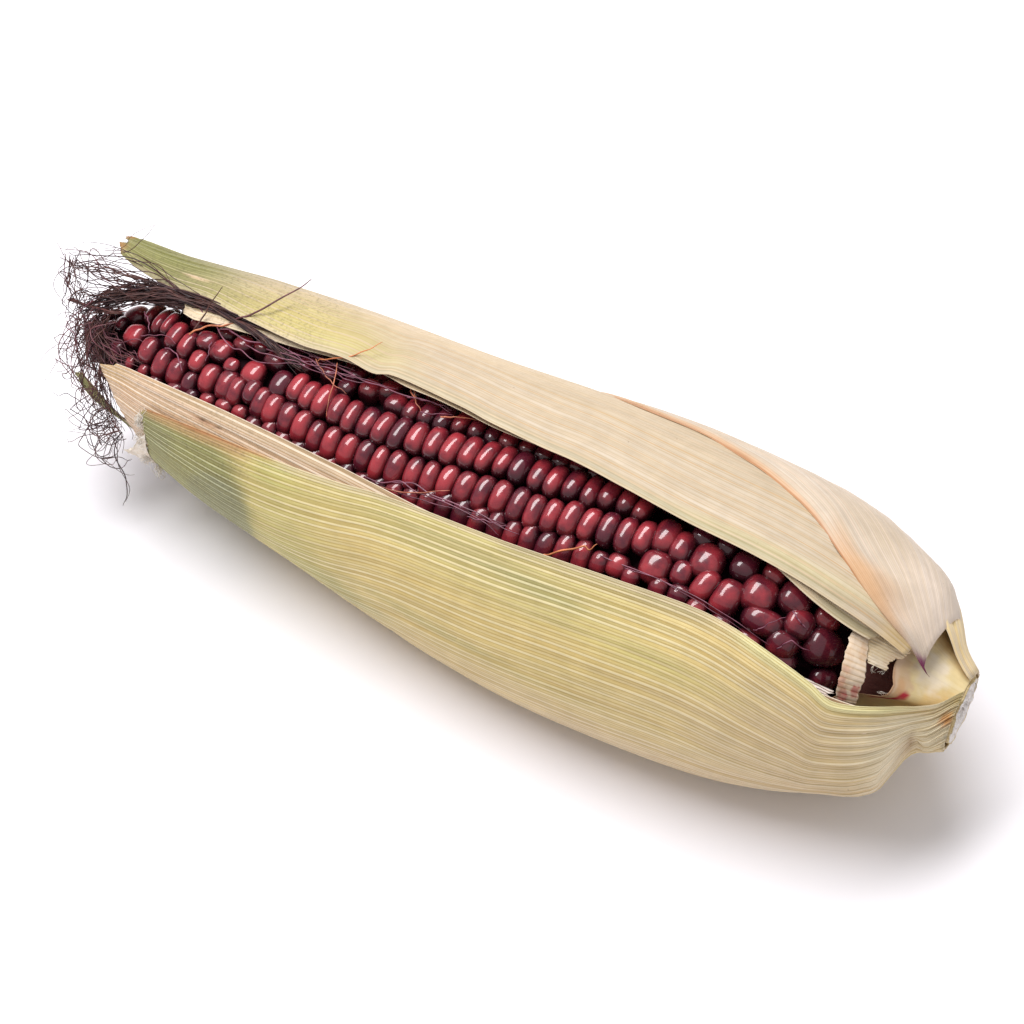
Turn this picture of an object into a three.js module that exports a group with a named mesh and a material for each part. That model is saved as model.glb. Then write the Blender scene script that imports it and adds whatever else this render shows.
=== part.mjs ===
// An ear of dark red corn, picked and lying on its side, with the husk opened along the top.
// Millimetres, +Z up. The ear lies along X: the silk end points to -X and the cut stem to +X.
// The origin is on the flat resting patch under the husk, below the middle of the ear.
import * as THREE from "three";

// ---- driving dimensions -------------------------------------------------------------------
const AXIS_HEIGHT = 33; // height of the ear's own axis over the surface that it rests on
const KERNEL_ROWS = 14;
const KERNEL_PITCH = 4.4; // along a row
const KERNEL_START = -112; // first and last kernel of a row, along X
const KERNEL_END = 85;
const KERNEL_GAP = 0.4; // between two rows, at their widest
const ROW_ANGLE = 58; // the row that faces up and to the near side, at the middle of the ear
const GROOVE_SHARE = 0.87; // radius between two kernels, as a share of the crown's radius
const KERNEL_ROOT_SHARE = 0.74; // radius of a kernel's root, as the same share
const RIDGE_SHARE = 0.6; // width of a kernel's crown against the width of its foot
const COB_CLEARANCE = 0.35; // between the cob and the roots of the kernels
const COB_TIP = -112;
const COB_STEP = 13; // between the sections that shape the cob
const COB_FOOT = 87.5;
const COB_FOOT_RADIUS = 8.5;
const LEAF_THICKNESS = 0.7;
const LEAF_PITCH = 1.35; // from one husk layer to the next: a leaf and the gap under it
const SECTION_CLEARANCE = 1.2; // least distance along a leaf from its end to its next section
const STEM_HEAD_X = 88; // where the stem meets the foot of the cob
const STEM_CUT_X = 112.8;
const STEM_RADIUS = 6.2;

// Radius of the kernels' crowns along the ear, as [x, radius].
const EAR_PROFILE = [
  [-116, 5], [-112, 7.8], [-108, 10.2], [-103, 13.2], [-95, 15.9], [-80, 17.7], [-40, 20],
  [0, 21.5], [40, 22], [65, 21.5], [78, 18.5], [86, 13],
];
// How far the rows wind around the ear, as [x, degrees].
const ROW_TWIST = [
  [-112, 6], [-101, 6], [-92, 0], [-77, -3.5], [-66, -3], [-58, -5], [-50, -8.5], [-40, -11],
  [-24, -9], [-7, -1.5], [4, 1], [15, 3.5], [25, 8.5], [37, 12], [60, 13], [86, 10],
];

// The outermost surface of the husk: its radius around the axis at some places along X, for seven
// angles around it. Angles are in degrees from the near side (-Y), up over the top, to the far side.
const HUSK_X = [
  -125, -105, -92, -75, -50, -20, 10, 40, 65, 80, 92, 99, 102.5, 105, 108, 113,
];
const HUSK_RADII = {
  "-90": [13, 16.4, 20.8, 23.8, 28.4, 33.3, 33.8, 33.8, 33.4, 31.4, 27.5, 23, 19.3, 16, 12.9, 9],
  "-36": [18, 19.5, 22.3, 26.7, 31, 36, 39.4, 39.4, 37.4, 34, 29.6, 26.9, 22.8, 15.2, 12.5, 9.6],
  "40": [15, 17, 19.6, 21.5, 23.4, 24.8, 26, 27, 27, 25.5, 23.5, 20.5, 17, 14.6, 12, 8.5],
  "100": [22, 22.5, 23.3, 24.6, 26.2, 27.6, 28.6, 29.2, 29, 28, 25.5, 21.5, 18, 15.5, 11.7, 8.1],
  "144": [27, 27.6, 28.8, 30.8, 32.4, 33.5, 35.1, 36.2, 35, 32.6, 28.4, 24.9, 21, 17.2, 12.2, 7.9],
  "190": [24, 27, 29.5, 32, 34, 35.6, 36.5, 37, 36, 33.8, 29.5, 25, 20.6, 17, 12.8, 8.2],
  "230": [20, 23, 26, 30, 33, 35.2, 36, 36.3, 35.5, 33.2, 29, 24, 19.6, 16.6, 13.1, 8.5],
};
// Places along X where every leaf has a section.
const SECTIONS = [
  -108, -98, -84, -68, -50, -30, -10, 12, 34, 54, 70, 82, 90, 96, 100, 102.5, 105, 108,
];

// The husk leaves. Each runs from its tip to its base between two edges, given as [x, angle]:
// "low" is the edge at the smaller angle. "tip" and "base" give x across the leaf, from its low
// edge (0) to its high edge (1). "layer" is [angle, layers in from the outside].
const LEAVES = [
  {
    name: "husk_front_outer",
    color: 0xcfc58c,
    low: [[-90, -98], [-80, -116], [-58, -132], [-30, -134], [0, -130], [112, -128]],
    high: [
      [-89, 18.5], [-78, 22.5], [-66, 25], [-44, 29], [-33, 31.7], [-21, 35.5], [10, 39.5],
      [34, 44], [54, 47], [64, 46], [73, 42], [84, 35.5], [90, 30.5], [102, 37], [105.5, 40],
      [108.5, 46.5], [110, 55], [112.4, 76],
    ],
    tip: [[0, -80], [0.3, -86], [0.6, -89], [0.85, -88], [0.97, -89.5], [1, -88]],
    base: [[0, 112.4], [1, 112.4]],
    layer: [[0, 0], [1, 0]],
    columns: 16,
  },
  {
    name: "husk_front_inner",
    color: 0xd7bb93,
    low: [[-105, -60], [-80, -75], [104, -70]],
    high: [[-105, 34], [-96, 37.5], [-69, 40], [-34, 38.5], [-11, 36], [40, 37], [80, 32], [105, 30]],
    tip: [[0, -80], [0.45, -92], [0.62, -97.5], [0.8, -102.5], [0.93, -105.8], [1, -101.5]],
    base: [[0, 104], [1, 105]],
    layer: [[-90, 1], [90, 1]],
    columns: 11,
  },
  {
    name: "husk_front_under",
    color: 0x98a562,
    low: [[-112, -50], [-80, -95], [80, -108], [103, -105]],
    high: [
      [-114, 10], [-112.5, 8], [-107.5, -2.5], [-102.5, -14], [-97, -22], [-88, -18], [-70, 10],
      [-40, 26], [60, 26], [103, 22],
    ],
    tip: [[0, -92], [0.3, -98], [0.6, -108], [0.85, -113.5], [1, -112]],
    base: [[0, 103], [1, 103]],
    layer: [[-110, 2], [90, 2]],
    columns: 10,
  },
  {
    name: "husk_back_main",
    color: 0xdfd0a4,
    low: [
      [-116, 117], [-108, 110], [-98, 106], [-87, 106], [-75, 101], [-58, 97], [-47, 97.8],
      [-27, 98], [-17, 96.8], [-6, 93.5], [5, 91.6], [16, 91], [43, 84.6], [67, 81], [85, 75.5],
      [100, 70],
    ],
    high: [[-116, 172], [-90, 205], [80, 214], [104, 205]],
    tip: [[0, -114.5], [0.12, -117.5], [0.32, -118.5], [0.6, -112], [1, -98]],
    base: [[0, 100], [0.15, 102], [1, 104]],
    layer: [[90, 2], [180, 2], [215, 3]],
    columns: 10,
  },
  {
    name: "husk_back_inner",
    color: 0xe6d9b8,
    low: [
      [-98, 106], [-88, 105], [-75, 101.5], [-60, 99], [-48, 100.5], [-38, 101.5], [-30, 98.8],
      [-15, 96.6], [-6, 94.4], [16, 94.6], [30, 93.5], [60, 87], [78, 74], [90, 69], [98, 72],
    ],
    high: [[-98, 192], [-88, 203], [-60, 206], [80, 200], [102, 190]],
    tip: [[0, -97], [0.4, -100], [0.8, -95], [1, -90]],
    base: [[0, 98], [1, 102]],
    layer: [[90, 3], [180, 3], [206, 4]],
    columns: 8,
  },
  {
    name: "husk_back_outer",
    color: 0xe8cda8,
    low: [
      [-100, 174], [-80, 167], [-40, 160], [-10, 156], [4, 151], [10.5, 145], [19, 139.5],
      [31, 136.5], [38, 134], [46, 130], [52, 127], [62, 119.5], [70.5, 111.5], [77.5, 101.5],
      [85.5, 90.5], [93, 82], [100, 76.5], [104.5, 69],
    ],
    high: [[-100, 205], [-70, 222], [80, 228], [106, 222]],
    tip: [[0, -98], [0.5, -104], [1, -92]],
    base: [[0, 104.5], [0.15, 103], [0.45, 103.2], [1, 106]],
    layer: [[60, 1], [180, 1], [225, 2]],
    columns: 9,
  },
  {
    name: "husk_far_outer",
    color: 0xdccb9c,
    low: [
      [-96, 183], [-60, 173], [0, 169], [60, 169], [84, 166], [91, 158], [96, 150], [104, 136],
      [108, 118], [112, 98],
    ],
    high: [[-96, 250], [-60, 258], [80, 260], [112.4, 256]],
    tip: [[0, -95], [0.4, -101], [0.7, -97], [1, -88]],
    base: [[0, 112.4], [1, 112.4]],
    layer: [[90, 0], [185, 0], [225, 1], [262, 1]],
    columns: 9,
  },
];

// Small torn pieces at the foot of the ear: x, angle and radius at the four corners of a strip.
const TORN_PIECES = [
  { name: "husk_torn_strip", color: 0xdcb7a0, x: [87.8, 92.4], angles: [26, 71], radii: [19.4, 18.4] },
  { name: "husk_torn_scrap", color: 0xe9e2d2, x: [92.8, 99], angles: [57, 79], radii: [17.2, 15.6] },
  { name: "husk_base_stub", color: 0xeadfb6, x: [97, 112.2], angles: [6, 150], radii: [14.4, 7.3] },
];
const TORN_COLUMNS = 8;
const TORN_SECTIONS = 4;

// The silk: a bundle that lies along the back leaf's edge, and a tuft that hangs off the tip.
const SILK_PATH = [
  [-62, 90.5, 22.6], [-76, 94.5, 22.2], [-88, 98, 21.2], [-98, 98.5, 20.6],
  [-107, 99, 19.5], [-115, 98, 18], [-123, 99, 17],
];
const SILK_RADIUS = 1.2;
const TUFT_CENTRE = [-122, -8, 36];
const TUFT_RADII = [6, 13, 15];

// ---- helpers ------------------------------------------------------------------------------
const radians = THREE.MathUtils.degToRad;

// A smooth curve through [x, y] stations, level past both ends.
function along(stations, x) {
  const last = stations.length - 1;
  if (x <= stations[0][0]) return stations[0][1];
  if (x >= stations[last][0]) return stations[last][1];
  let i = 0;
  while (stations[i + 1][0] < x) i += 1;
  const slope = (k) => {
    const a = stations[Math.max(k - 1, 0)];
    const b = stations[Math.min(k + 1, last)];
    return (b[1] - a[1]) / (b[0] - a[0]);
  };
  const [x0, y0] = stations[i];
  const [x1, y1] = stations[i + 1];
  const h = x1 - x0;
  const t = (x - x0) / h;
  const a = 2 * t ** 3 - 3 * t ** 2;
  return (a + 1) * y0 + (t ** 3 - 2 * t ** 2 + t) * h * slope(i)
    - a * y1 + (t ** 3 - t ** 2) * h * slope(i + 1);
}

// A point at x, at an angle and a radius around the ear's axis.
function around(x, angle, radius) {
  const a = radians(angle);
  return new THREE.Vector3(x, -radius * Math.cos(a), AXIS_HEIGHT + radius * Math.sin(a));
}

const huskCurves = Object.keys(HUSK_RADII).map((angle) => [
  Number(angle),
  HUSK_X.map((x, i) => [x, HUSK_RADII[angle][i]]),
]);

// Radius of the husk's outermost surface at x and an angle.
function huskRadius(x, angle) {
  const wrapped = THREE.MathUtils.euclideanModulo(angle + 90, 360) - 90;
  const stations = huskCurves.map(([a, curve]) => [a, along(curve, x)]).sort((a, b) => a[0] - b[0]);
  const before = stations[stations.length - 1];
  const after = stations.slice(0, 2).map(([a, r]) => [a + 360, r]);
  return along([[before[0] - 360, before[1]], ...stations, ...after], wrapped);
}

// A point of the husk, a depth in from its outermost surface. The husk lies flat where it rests.
function huskPoint(x, angle, depth) {
  const p = around(x, angle, huskRadius(x, angle) - depth);
  p.z = Math.max(p.z, depth);
  return p;
}

function material(color, roughness) {
  return new THREE.MeshStandardMaterial({ color, roughness, metalness: 0 });
}

// Collects triangles from points, and gives back an indexed geometry.
class Skin {
  constructor() {
    this.positions = [];
    this.index = [];
  }
  point(p) {
    this.positions.push(p.x, p.y, p.z);
    return this.positions.length / 3 - 1;
  }
  triangle(a, b, c) {
    this.index.push(a, b, c);
  }
  quad(a, b, c, d) {
    this.triangle(a, b, c);
    this.triangle(a, c, d);
  }
  geometry() {
    const g = new THREE.BufferGeometry();
    g.setAttribute("position", new THREE.Float32BufferAttribute(this.positions, 3));
    g.setIndex(this.index);
    g.computeVertexNormals();
    return g;
  }
}

// A thin closed sheet: rows and columns of points on its outside, and the same on its inside.
function sheet(rows, columns, outside, inside) {
  const skin = new Skin();
  const out = [];
  const back = [];
  for (let i = 0; i < rows; i += 1) {
    out.push([]);
    back.push([]);
    for (let j = 0; j < columns; j += 1) {
      out[i].push(skin.point(outside(i, j)));
      back[i].push(skin.point(inside(i, j)));
    }
  }
  for (let i = 0; i + 1 < rows; i += 1) {
    for (let j = 0; j + 1 < columns; j += 1) {
      skin.quad(out[i][j], out[i + 1][j], out[i + 1][j + 1], out[i][j + 1]);
      skin.quad(back[i][j], back[i][j + 1], back[i + 1][j + 1], back[i + 1][j]);
    }
    const e = columns - 1;
    skin.quad(out[i][0], back[i][0], back[i + 1][0], out[i + 1][0]);
    skin.quad(out[i][e], out[i + 1][e], back[i + 1][e], back[i][e]);
  }
  for (let j = 0; j + 1 < columns; j += 1) {
    const e = rows - 1;
    skin.quad(out[0][j], out[0][j + 1], back[0][j + 1], back[0][j]);
    skin.quad(out[e][j], back[e][j], back[e][j + 1], out[e][j + 1]);
  }
  return skin.geometry();
}

// ---- pieces -------------------------------------------------------------------------------
function leaf({ name, color, low, high, tip, base, layer, columns }) {
  const first = Math.min(...tip.map((station) => station[1]));
  const last = Math.max(...base.map((station) => station[1]));
  const sections = [first, ...SECTIONS.filter((x) => x > first && x < last), last];
  const place = (i, j) => {
    const across = j / (columns - 1);
    const start = along(tip, across) + i * SECTION_CLEARANCE;
    const stop = along(base, across) - (sections.length - 1 - i) * SECTION_CLEARANCE;
    const x = Math.min(Math.max(sections[i], start), stop);
    return [x, THREE.MathUtils.lerp(along(low, x), along(high, x), across)];
  };
  const at = (i, j, thickness) => {
    const [x, angle] = place(i, j);
    return huskPoint(x, angle, along(layer, angle) * LEAF_PITCH + thickness);
  };
  const geometry = sheet(
    sections.length,
    columns,
    (i, j) => at(i, j, 0),
    (i, j) => at(i, j, LEAF_THICKNESS),
  );
  const mesh = new THREE.Mesh(geometry, material(color, 0.6));
  mesh.name = name;
  return mesh;
}

function tornPiece({ name, color, x, angles, radii }) {
  const at = (i, j, thickness) => {
    const share = i / (TORN_SECTIONS - 1);
    const angle = THREE.MathUtils.lerp(angles[0], angles[1], j / (TORN_COLUMNS - 1));
    const radius = THREE.MathUtils.lerp(radii[0], radii[1], share) - thickness;
    return around(THREE.MathUtils.lerp(x[0], x[1], share), angle, radius);
  };
  const geometry = sheet(
    TORN_SECTIONS,
    TORN_COLUMNS,
    (i, j) => at(i, j, 0),
    (i, j) => at(i, j, LEAF_THICKNESS),
  );
  const mesh = new THREE.Mesh(geometry, material(color, 0.65));
  mesh.name = name;
  return mesh;
}

// One row of kernels, joined at their roots. Each kernel is a small hipped block whose ridge runs
// across the row, as a real kernel's crown does.
function kernelRow(number) {
  const count = Math.floor((KERNEL_END - KERNEL_START) / KERNEL_PITCH);
  const stagger = (number % 2) * KERNEL_PITCH * 0.5;
  const middle = ROW_ANGLE + (number * 360) / KERNEL_ROWS;
  const skin = new Skin();
  const at = (x, side, radiusShare, widthShare) => {
    const radius = along(EAR_PROFILE, x) * radiusShare;
    const half = 180 / KERNEL_ROWS - THREE.MathUtils.radToDeg(KERNEL_GAP / 2 / radius);
    return skin.point(around(x, middle + along(ROW_TWIST, x) + side * half * widthShare, radius));
  };
  const rings = [];
  for (let i = 0; i <= count; i += 1) {
    const x = KERNEL_START + stagger + i * KERNEL_PITCH;
    rings.push({
      left: at(x, -1, GROOVE_SHARE, 1),
      right: at(x, 1, GROOVE_SHARE, 1),
      rightRoot: at(x, 1, KERNEL_ROOT_SHARE, 1),
      leftRoot: at(x, -1, KERNEL_ROOT_SHARE, 1),
    });
  }
  for (let i = 0; i < count; i += 1) {
    const a = rings[i];
    const b = rings[i + 1];
    const x = KERNEL_START + stagger + (i + 0.5) * KERNEL_PITCH;
    const ridgeLeft = at(x, -1, 1, RIDGE_SHARE);
    const ridgeRight = at(x, 1, 1, RIDGE_SHARE);
    skin.triangle(a.left, b.left, ridgeLeft);
    skin.triangle(b.right, a.right, ridgeRight);
    skin.quad(a.left, ridgeLeft, ridgeRight, a.right);
    skin.quad(b.left, b.right, ridgeRight, ridgeLeft);
    skin.quad(a.left, a.leftRoot, b.leftRoot, b.left);
    skin.quad(a.right, b.right, b.rightRoot, a.rightRoot);
    skin.quad(a.leftRoot, a.rightRoot, b.rightRoot, b.leftRoot);
  }
  const first = rings[0];
  const last = rings[count];
  skin.quad(first.left, first.right, first.rightRoot, first.leftRoot);
  skin.quad(last.left, last.leftRoot, last.rightRoot, last.right);
  const mesh = new THREE.Mesh(skin.geometry(), material(0x7d2230, 0.25));
  mesh.name = `kernel_row_${String(number + 1).padStart(2, "0")}`;
  return mesh;
}

// A solid of revolution around the ear's axis, from [x, radius] points.
function turned(name, profile, sides, look) {
  const points = profile.map(([x, radius]) => new THREE.Vector2(radius, x));
  const geometry = new THREE.LatheGeometry(points, sides);
  geometry.rotateZ(-Math.PI / 2);
  geometry.deleteAttribute("uv");
  const mesh = new THREE.Mesh(geometry, look);
  mesh.name = name;
  mesh.position.z = AXIS_HEIGHT;
  return mesh;
}

function cob() {
  const halfRow = radians(180 / KERNEL_ROWS);
  const share = KERNEL_ROOT_SHARE * Math.cos(halfRow);
  const profile = [[COB_TIP - 1, 0]];
  for (let x = COB_TIP; x <= KERNEL_END; x += COB_STEP) {
    profile.push([x, along(EAR_PROFILE, x) * share - COB_CLEARANCE]);
  }
  profile.push([COB_FOOT, COB_FOOT_RADIUS], [COB_FOOT, 0]);
  return turned("cob", profile, KERNEL_ROWS, material(0x3a1820, 0.7));
}

function stem() {
  const profile = [
    [STEM_HEAD_X, 0], [STEM_HEAD_X, 10.5], [92, 11], [97, 9.5], [103, STEM_RADIUS + 0.4],
    [STEM_CUT_X, STEM_RADIUS], [STEM_CUT_X, 0],
  ];
  return turned("stem", profile, 24, material(0xd9d3c0, 0.8));
}

function silkBundle() {
  const path = new THREE.CatmullRomCurve3(SILK_PATH.map(([x, angle, r]) => around(x, angle, r)));
  const sides = 8;
  const section = new THREE.Shape();
  for (let k = 0; k < sides; k += 1) {
    const a = (2 * Math.PI * k) / sides;
    const move = k === 0 ? "moveTo" : "lineTo";
    section[move](SILK_RADIUS * Math.cos(a), SILK_RADIUS * Math.sin(a));
  }
  const geometry = new THREE.ExtrudeGeometry(section, { steps: 12, extrudePath: path });
  const mesh = new THREE.Mesh(geometry, material(0x3a2028, 0.5));
  mesh.name = "silk_bundle";
  return mesh;
}

function silkTuft() {
  const geometry = new THREE.SphereGeometry(1, 14, 10);
  geometry.scale(...TUFT_RADII);
  const mesh = new THREE.Mesh(geometry, material(0x4a2a2c, 0.5));
  mesh.name = "silk_tuft";
  mesh.position.set(...TUFT_CENTRE);
  return mesh;
}

// ---- the ear ------------------------------------------------------------------------------
const ear = new THREE.Group();
ear.add(cob(), stem());
for (let number = 0; number < KERNEL_ROWS; number += 1) ear.add(kernelRow(number));
for (const shape of LEAVES) ear.add(leaf(shape));
for (const shape of TORN_PIECES) ear.add(tornPiece(shape));
ear.add(silkBundle(), silkTuft());

export default ear;
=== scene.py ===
"""An ear of dark red corn, picked and lying on its side, with the husk opened along the top.

Shapes are worked out in millimetres around the ear's axis: x along the ear, an angle in degrees
from the near side (-Y) up over the top, and a radius. Blender gets them in metres.
"""

import bpy
import numpy as np
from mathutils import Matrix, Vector


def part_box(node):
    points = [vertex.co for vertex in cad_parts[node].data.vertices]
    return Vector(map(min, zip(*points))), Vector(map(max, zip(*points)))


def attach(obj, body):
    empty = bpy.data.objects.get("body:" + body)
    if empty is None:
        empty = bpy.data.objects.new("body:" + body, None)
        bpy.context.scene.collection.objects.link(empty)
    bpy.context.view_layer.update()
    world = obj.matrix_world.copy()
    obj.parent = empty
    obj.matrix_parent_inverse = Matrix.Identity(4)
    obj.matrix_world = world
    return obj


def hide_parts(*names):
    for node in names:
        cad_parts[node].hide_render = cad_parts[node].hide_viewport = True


bl_info = {
    "name": "Ear of corn",
    "version": (1, 0, 0),
    "blender": (4, 5, 0),
    "location": "3D View > Sidebar > Corn",
    "description": "An ear of dark red corn in its opened husk, with its silk, and a pale stage",
    "category": "Add Mesh",
}

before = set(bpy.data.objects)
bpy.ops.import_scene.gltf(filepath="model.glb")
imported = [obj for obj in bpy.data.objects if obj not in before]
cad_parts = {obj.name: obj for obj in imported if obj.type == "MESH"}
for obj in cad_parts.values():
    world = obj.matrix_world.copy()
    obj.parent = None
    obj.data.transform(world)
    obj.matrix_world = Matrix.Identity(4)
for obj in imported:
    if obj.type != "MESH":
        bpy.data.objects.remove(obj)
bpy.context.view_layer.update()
MM = 0.001


def middle_height(node):
    """Height of the middle of a node's box, in millimetres."""
    low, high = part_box(node)
    return (low[2] + high[2]) / 2 / MM


AXIS_HEIGHT = middle_height("stem")
CUT_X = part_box("stem")[1][0] / MM

# ---- stations of the shapes, in millimetres and degrees -----------------------------------
# Radius of the kernels' crowns along the ear, as [x, radius].
EAR_PROFILE = [
    [-120, 3], [-116, 6], [-112, 8.7], [-108, 11], [-103, 13.6], [-95, 16.2], [-80, 17.9],
    [-40, 20], [0, 21.5], [40, 22], [65, 21.5], [78, 18.5], [86, 13], [90, 9],
]
# How far the rows of kernels wind around the ear, as [x, degrees].
ROW_TWIST = [
    [-112, 6], [-101, 6], [-92, 0], [-77, -3.5], [-66, -3], [-58, -5], [-50, -8.5], [-40, -11],
    [-24, -9], [-7, -1.5], [4, 1], [15, 3.5], [25, 8.5], [37, 12], [60, 13], [86, 10],
]
# Angle of each row at the middle of the ear.
ROW_ANGLES = [58, 84, 109, 135.5, 162, 188, 214.5, 241, 267, 293.5, 320, 346, 12, 36.5]
OPEN_ROWS = [0, 1, 2, 3, 12, 13]  # rows that show between the leaves
# Where the regular kernels of the rows that show begin and end along x.
OPEN_SPANS = {0: [-58.2, 32.6], 1: [-43.4, 33], 2: [-27.5, 44], 3: [-90, 60], 12: [-96, 60],
    13: [-61.5, 25.5]}
# Kernels out of line at both ends of the ear: x, angle, half length along the ear, half width
# across, and tilt in degrees.
LOOSE_KERNELS = [
    [-111, 72, 1.9, 1.9, 0], [-106, 102, 3.3, 2.9, 10], [-101.7, 68.5, 3.1, 3, 0],
    [-100.9, 105, 1.6, 3.6, 0], [-96.9, 95.5, 1.8, 4.3, 0], [-93.8, 91, 1.3, 3.6, 0],
    [-90.6, 82, 2.2, 3.9, 0], [-86.3, 76.7, 2, 3.5, 0], [-82.3, 86, 2.7, 2.5, 8],
    [-77.4, 82.4, 2.8, 2.8, 0], [-95.2, 58, 2.4, 3.4, 0], [-90.3, 50.6, 2.2, 3.9, 0],
    [-85.9, 49, 2.3, 3.6, 0], [-81.2, 44.4, 1.8, 3, 0], [-81.3, 65.4, 2.1, 2.6, 0],
    [-77, 55.2, 2.3, 3.8, 0], [-72.1, 56.5, 2.4, 3.9, 0], [-72.9, 73, 1.9, 1.7, 0],
    [-68.9, 54.5, 2, 3.6, 0], [-67.2, 74.6, 2.9, 3, 0], [-64.9, 59.4, 1.9, 2.9, 0],
    [-61.8, 54, 2.1, 3.9, 0], [-59.3, 74.8, 2.5, 3.5, 0], [-54.9, 77.3, 2.1, 3.7, 0],
    [-51.4, 74.8, 2, 3.7, 0], [-47.5, 75.9, 2.3, 4.4, 0], [-79.1, 36, 1.5, 1.7, 0],
    [-75, 37, 1.9, 2.1, 0], [-70.2, 37.6, 2.1, 2.3, 0], [-65.9, 38.6, 2, 2.2, 0],
    [-94, 37, 1.4, 1.8, 0], [-98.6, 38, 1.5, 1.9, 0], [-92.7, 114, 2, 1.8, 0],
    [-87.8, 105, 2.2, 2.5, 0], [-79.6, 104, 2.4, 2.6, 0], [-74, 97.5, 2.4, 2.3, 0],
    [-69.7, 104.5, 2.3, 2.3, 0], [-64.1, 94.2, 2.8, 2.6, 0], [-61.7, 110, 2.1, 2.2, 0],
    [-57, 98, 2, 2.2, 0], [-55.5, 108, 2, 2, 0], [-50.6, 102, 2.2, 2.4, 0],
    [-44.8, 94.5, 2.1, 2.3, 0], [-45, 112, 2.3, 2.6, 0], [-39.7, 102, 2.4, 2.8, 0],
    [-35.4, 108, 2.4, 3, 0], [-31.6, 97, 2.4, 2.7, 0], [-90, 31, 1.8, 2.2, 0],
    [-84.5, 32, 2, 2.4, 0], [-104.5, 44, 2, 2.2, 0], [-107.5, 80, 1.8, 1.9, 0],
    [36.7, 73, 2.2, 3.9, 0], [40.9, 80.4, 2.9, 4.2, 0], [45.4, 77.6, 2.4, 3.8, 0],
    [51.6, 75.9, 3.6, 4.2, 0], [59.5, 84, 3, 3.5, 0], [41.6, 57.5, 3.4, 3.8, 0],
    [47.8, 61.2, 2.3, 2.7, 0], [49.2, 46.8, 2.4, 2.5, 0], [29.8, 46.3, 2, 2.5, 0],
    [33.9, 49, 2.4, 2.6, 0], [37.8, 45.5, 2, 2.2, 0], [44.3, 46.5, 2.1, 2.4, 0],
    [53.6, 59.4, 2.5, 3.9, -14], [58.9, 57.8, 3.1, 4.5, -8], [65, 69.6, 3.9, 4.2, 0],
    [72.4, 78.2, 3.6, 3.9, 0], [68.1, 53, 4.5, 3, 0], [75.5, 62.4, 3.3, 3.3, 0],
    [73.9, 43.6, 3.3, 3.1, 0], [81.6, 53, 4.4, 4.5, 0], [83.6, 22, 3, 3.2, 0],
    [48.2, 92.7, 2.7, 3.2, 0], [54, 93, 2.4, 3, 0], [66, 88.5, 2.6, 2.8, 0],
    [80, 80, 3, 3.4, 0], [54, 42, 2.3, 2.8, 0], [60, 38, 2.8, 3, 0], [66.8, 34, 3, 3.2, 0],
    [60, 106, 3, 3.8, 0], [72, 97, 3, 3.6, 0], [75, 28, 3, 3.4, 0], [53, 110, 2.6, 3.8, 0],
    [-114.2, 18, 1.7, 2.4, 5], [-114.6, 59, 1.6, 2.3, 0], [-114.3, 99, 1.8, 2.4, -6],
    [-114.0, 141, 1.7, 2.5, 4],
    [-114.5, 180, 1.8, 2.3, 0], [-114.1, 221, 1.7, 2.4, -5], [-114.4, 259, 1.9, 2.4, 8],
    [-114.0, 301, 1.7, 2.5, 0],
    [-114.6, 340, 1.7, 2.4, -4], [-117.2, 38, 1.7, 2.4, 0], [-117.0, 97, 1.8, 2.3, 6],
    [-117.4, 158, 1.7, 2.5, 0],
    [-117.1, 217, 1.8, 2.4, -6], [-117.3, 277, 1.7, 2.4, 0], [-117.0, 338, 1.8, 2.4, 5],
    [-119.4, 70, 1.8, 2.2, 0], [-119.6, 190, 1.9, 2.3, 0], [-119.3, 310, 1.8, 2.2, 0],
]
TIP_KERNELS_X = -113  # kernels past this are small and dark
# Kernels darkened as painted shade, most of them where a leaf's edge overhangs them, as x and
# angle.
PAINTED_SHADE_KERNELS = [[59.5, 84], [-26, 76], [-92.7, 114], [4.6, 84], [-81.2, 44.4], [83.6, 22],
    [48.2, 92.7], [54, 93]]

# The stem's side is painted dark brown, as painted shade in the hollow, towards the cob from about
# this x.
HOLLOW_X = 99  # where the dark hollow beside the stem ends

# The outermost surface of the husk: its radius at some places along x, for seven angles.
HUSK_X = [-125, -105, -92, -75, -50, -20, 10, 40, 65, 80, 92, 99, 102.5, 105, 108, 113]
HUSK_ANGLES = [-90, -36, 40, 100, 144, 190, 230]
HUSK_RADII = [
    [13, 16.4, 20.8, 23.8, 28.4, 33.3, 33.8, 33.8, 33.4, 31.4, 27.5, 23, 19.3, 16, 12.9, 9],
    [18, 19.5, 22.3, 26.7, 31, 36, 39.4, 39.4, 37.4, 34, 29.6, 26.9, 22.8, 15.2, 12.5, 9.6],
    [15, 17, 19.6, 21.5, 23.4, 24.8, 26, 27, 27, 25.5, 23.5, 20.5, 17, 14.6, 12, 8.5],
    [22, 22.5, 23.3, 24.6, 26.2, 27.6, 28.6, 29.2, 29, 28, 25.5, 21.5, 18, 15.5, 11.7, 8.1],
    [27, 27.6, 28.8, 30.8, 32.4, 33.5, 35.1, 36.2, 35, 32.6, 28.4, 24.9, 21, 17.2, 12.2, 7.9],
    [24, 27, 29.5, 32, 34, 35.6, 36.5, 37, 36, 33.8, 29.5, 25, 20.6, 17, 12.8, 8.2],
    [20, 23, 26, 30, 33, 35.2, 36, 36.3, 35.5, 33.2, 29, 24, 19.6, 16.6, 13.1, 8.5],
]

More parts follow.
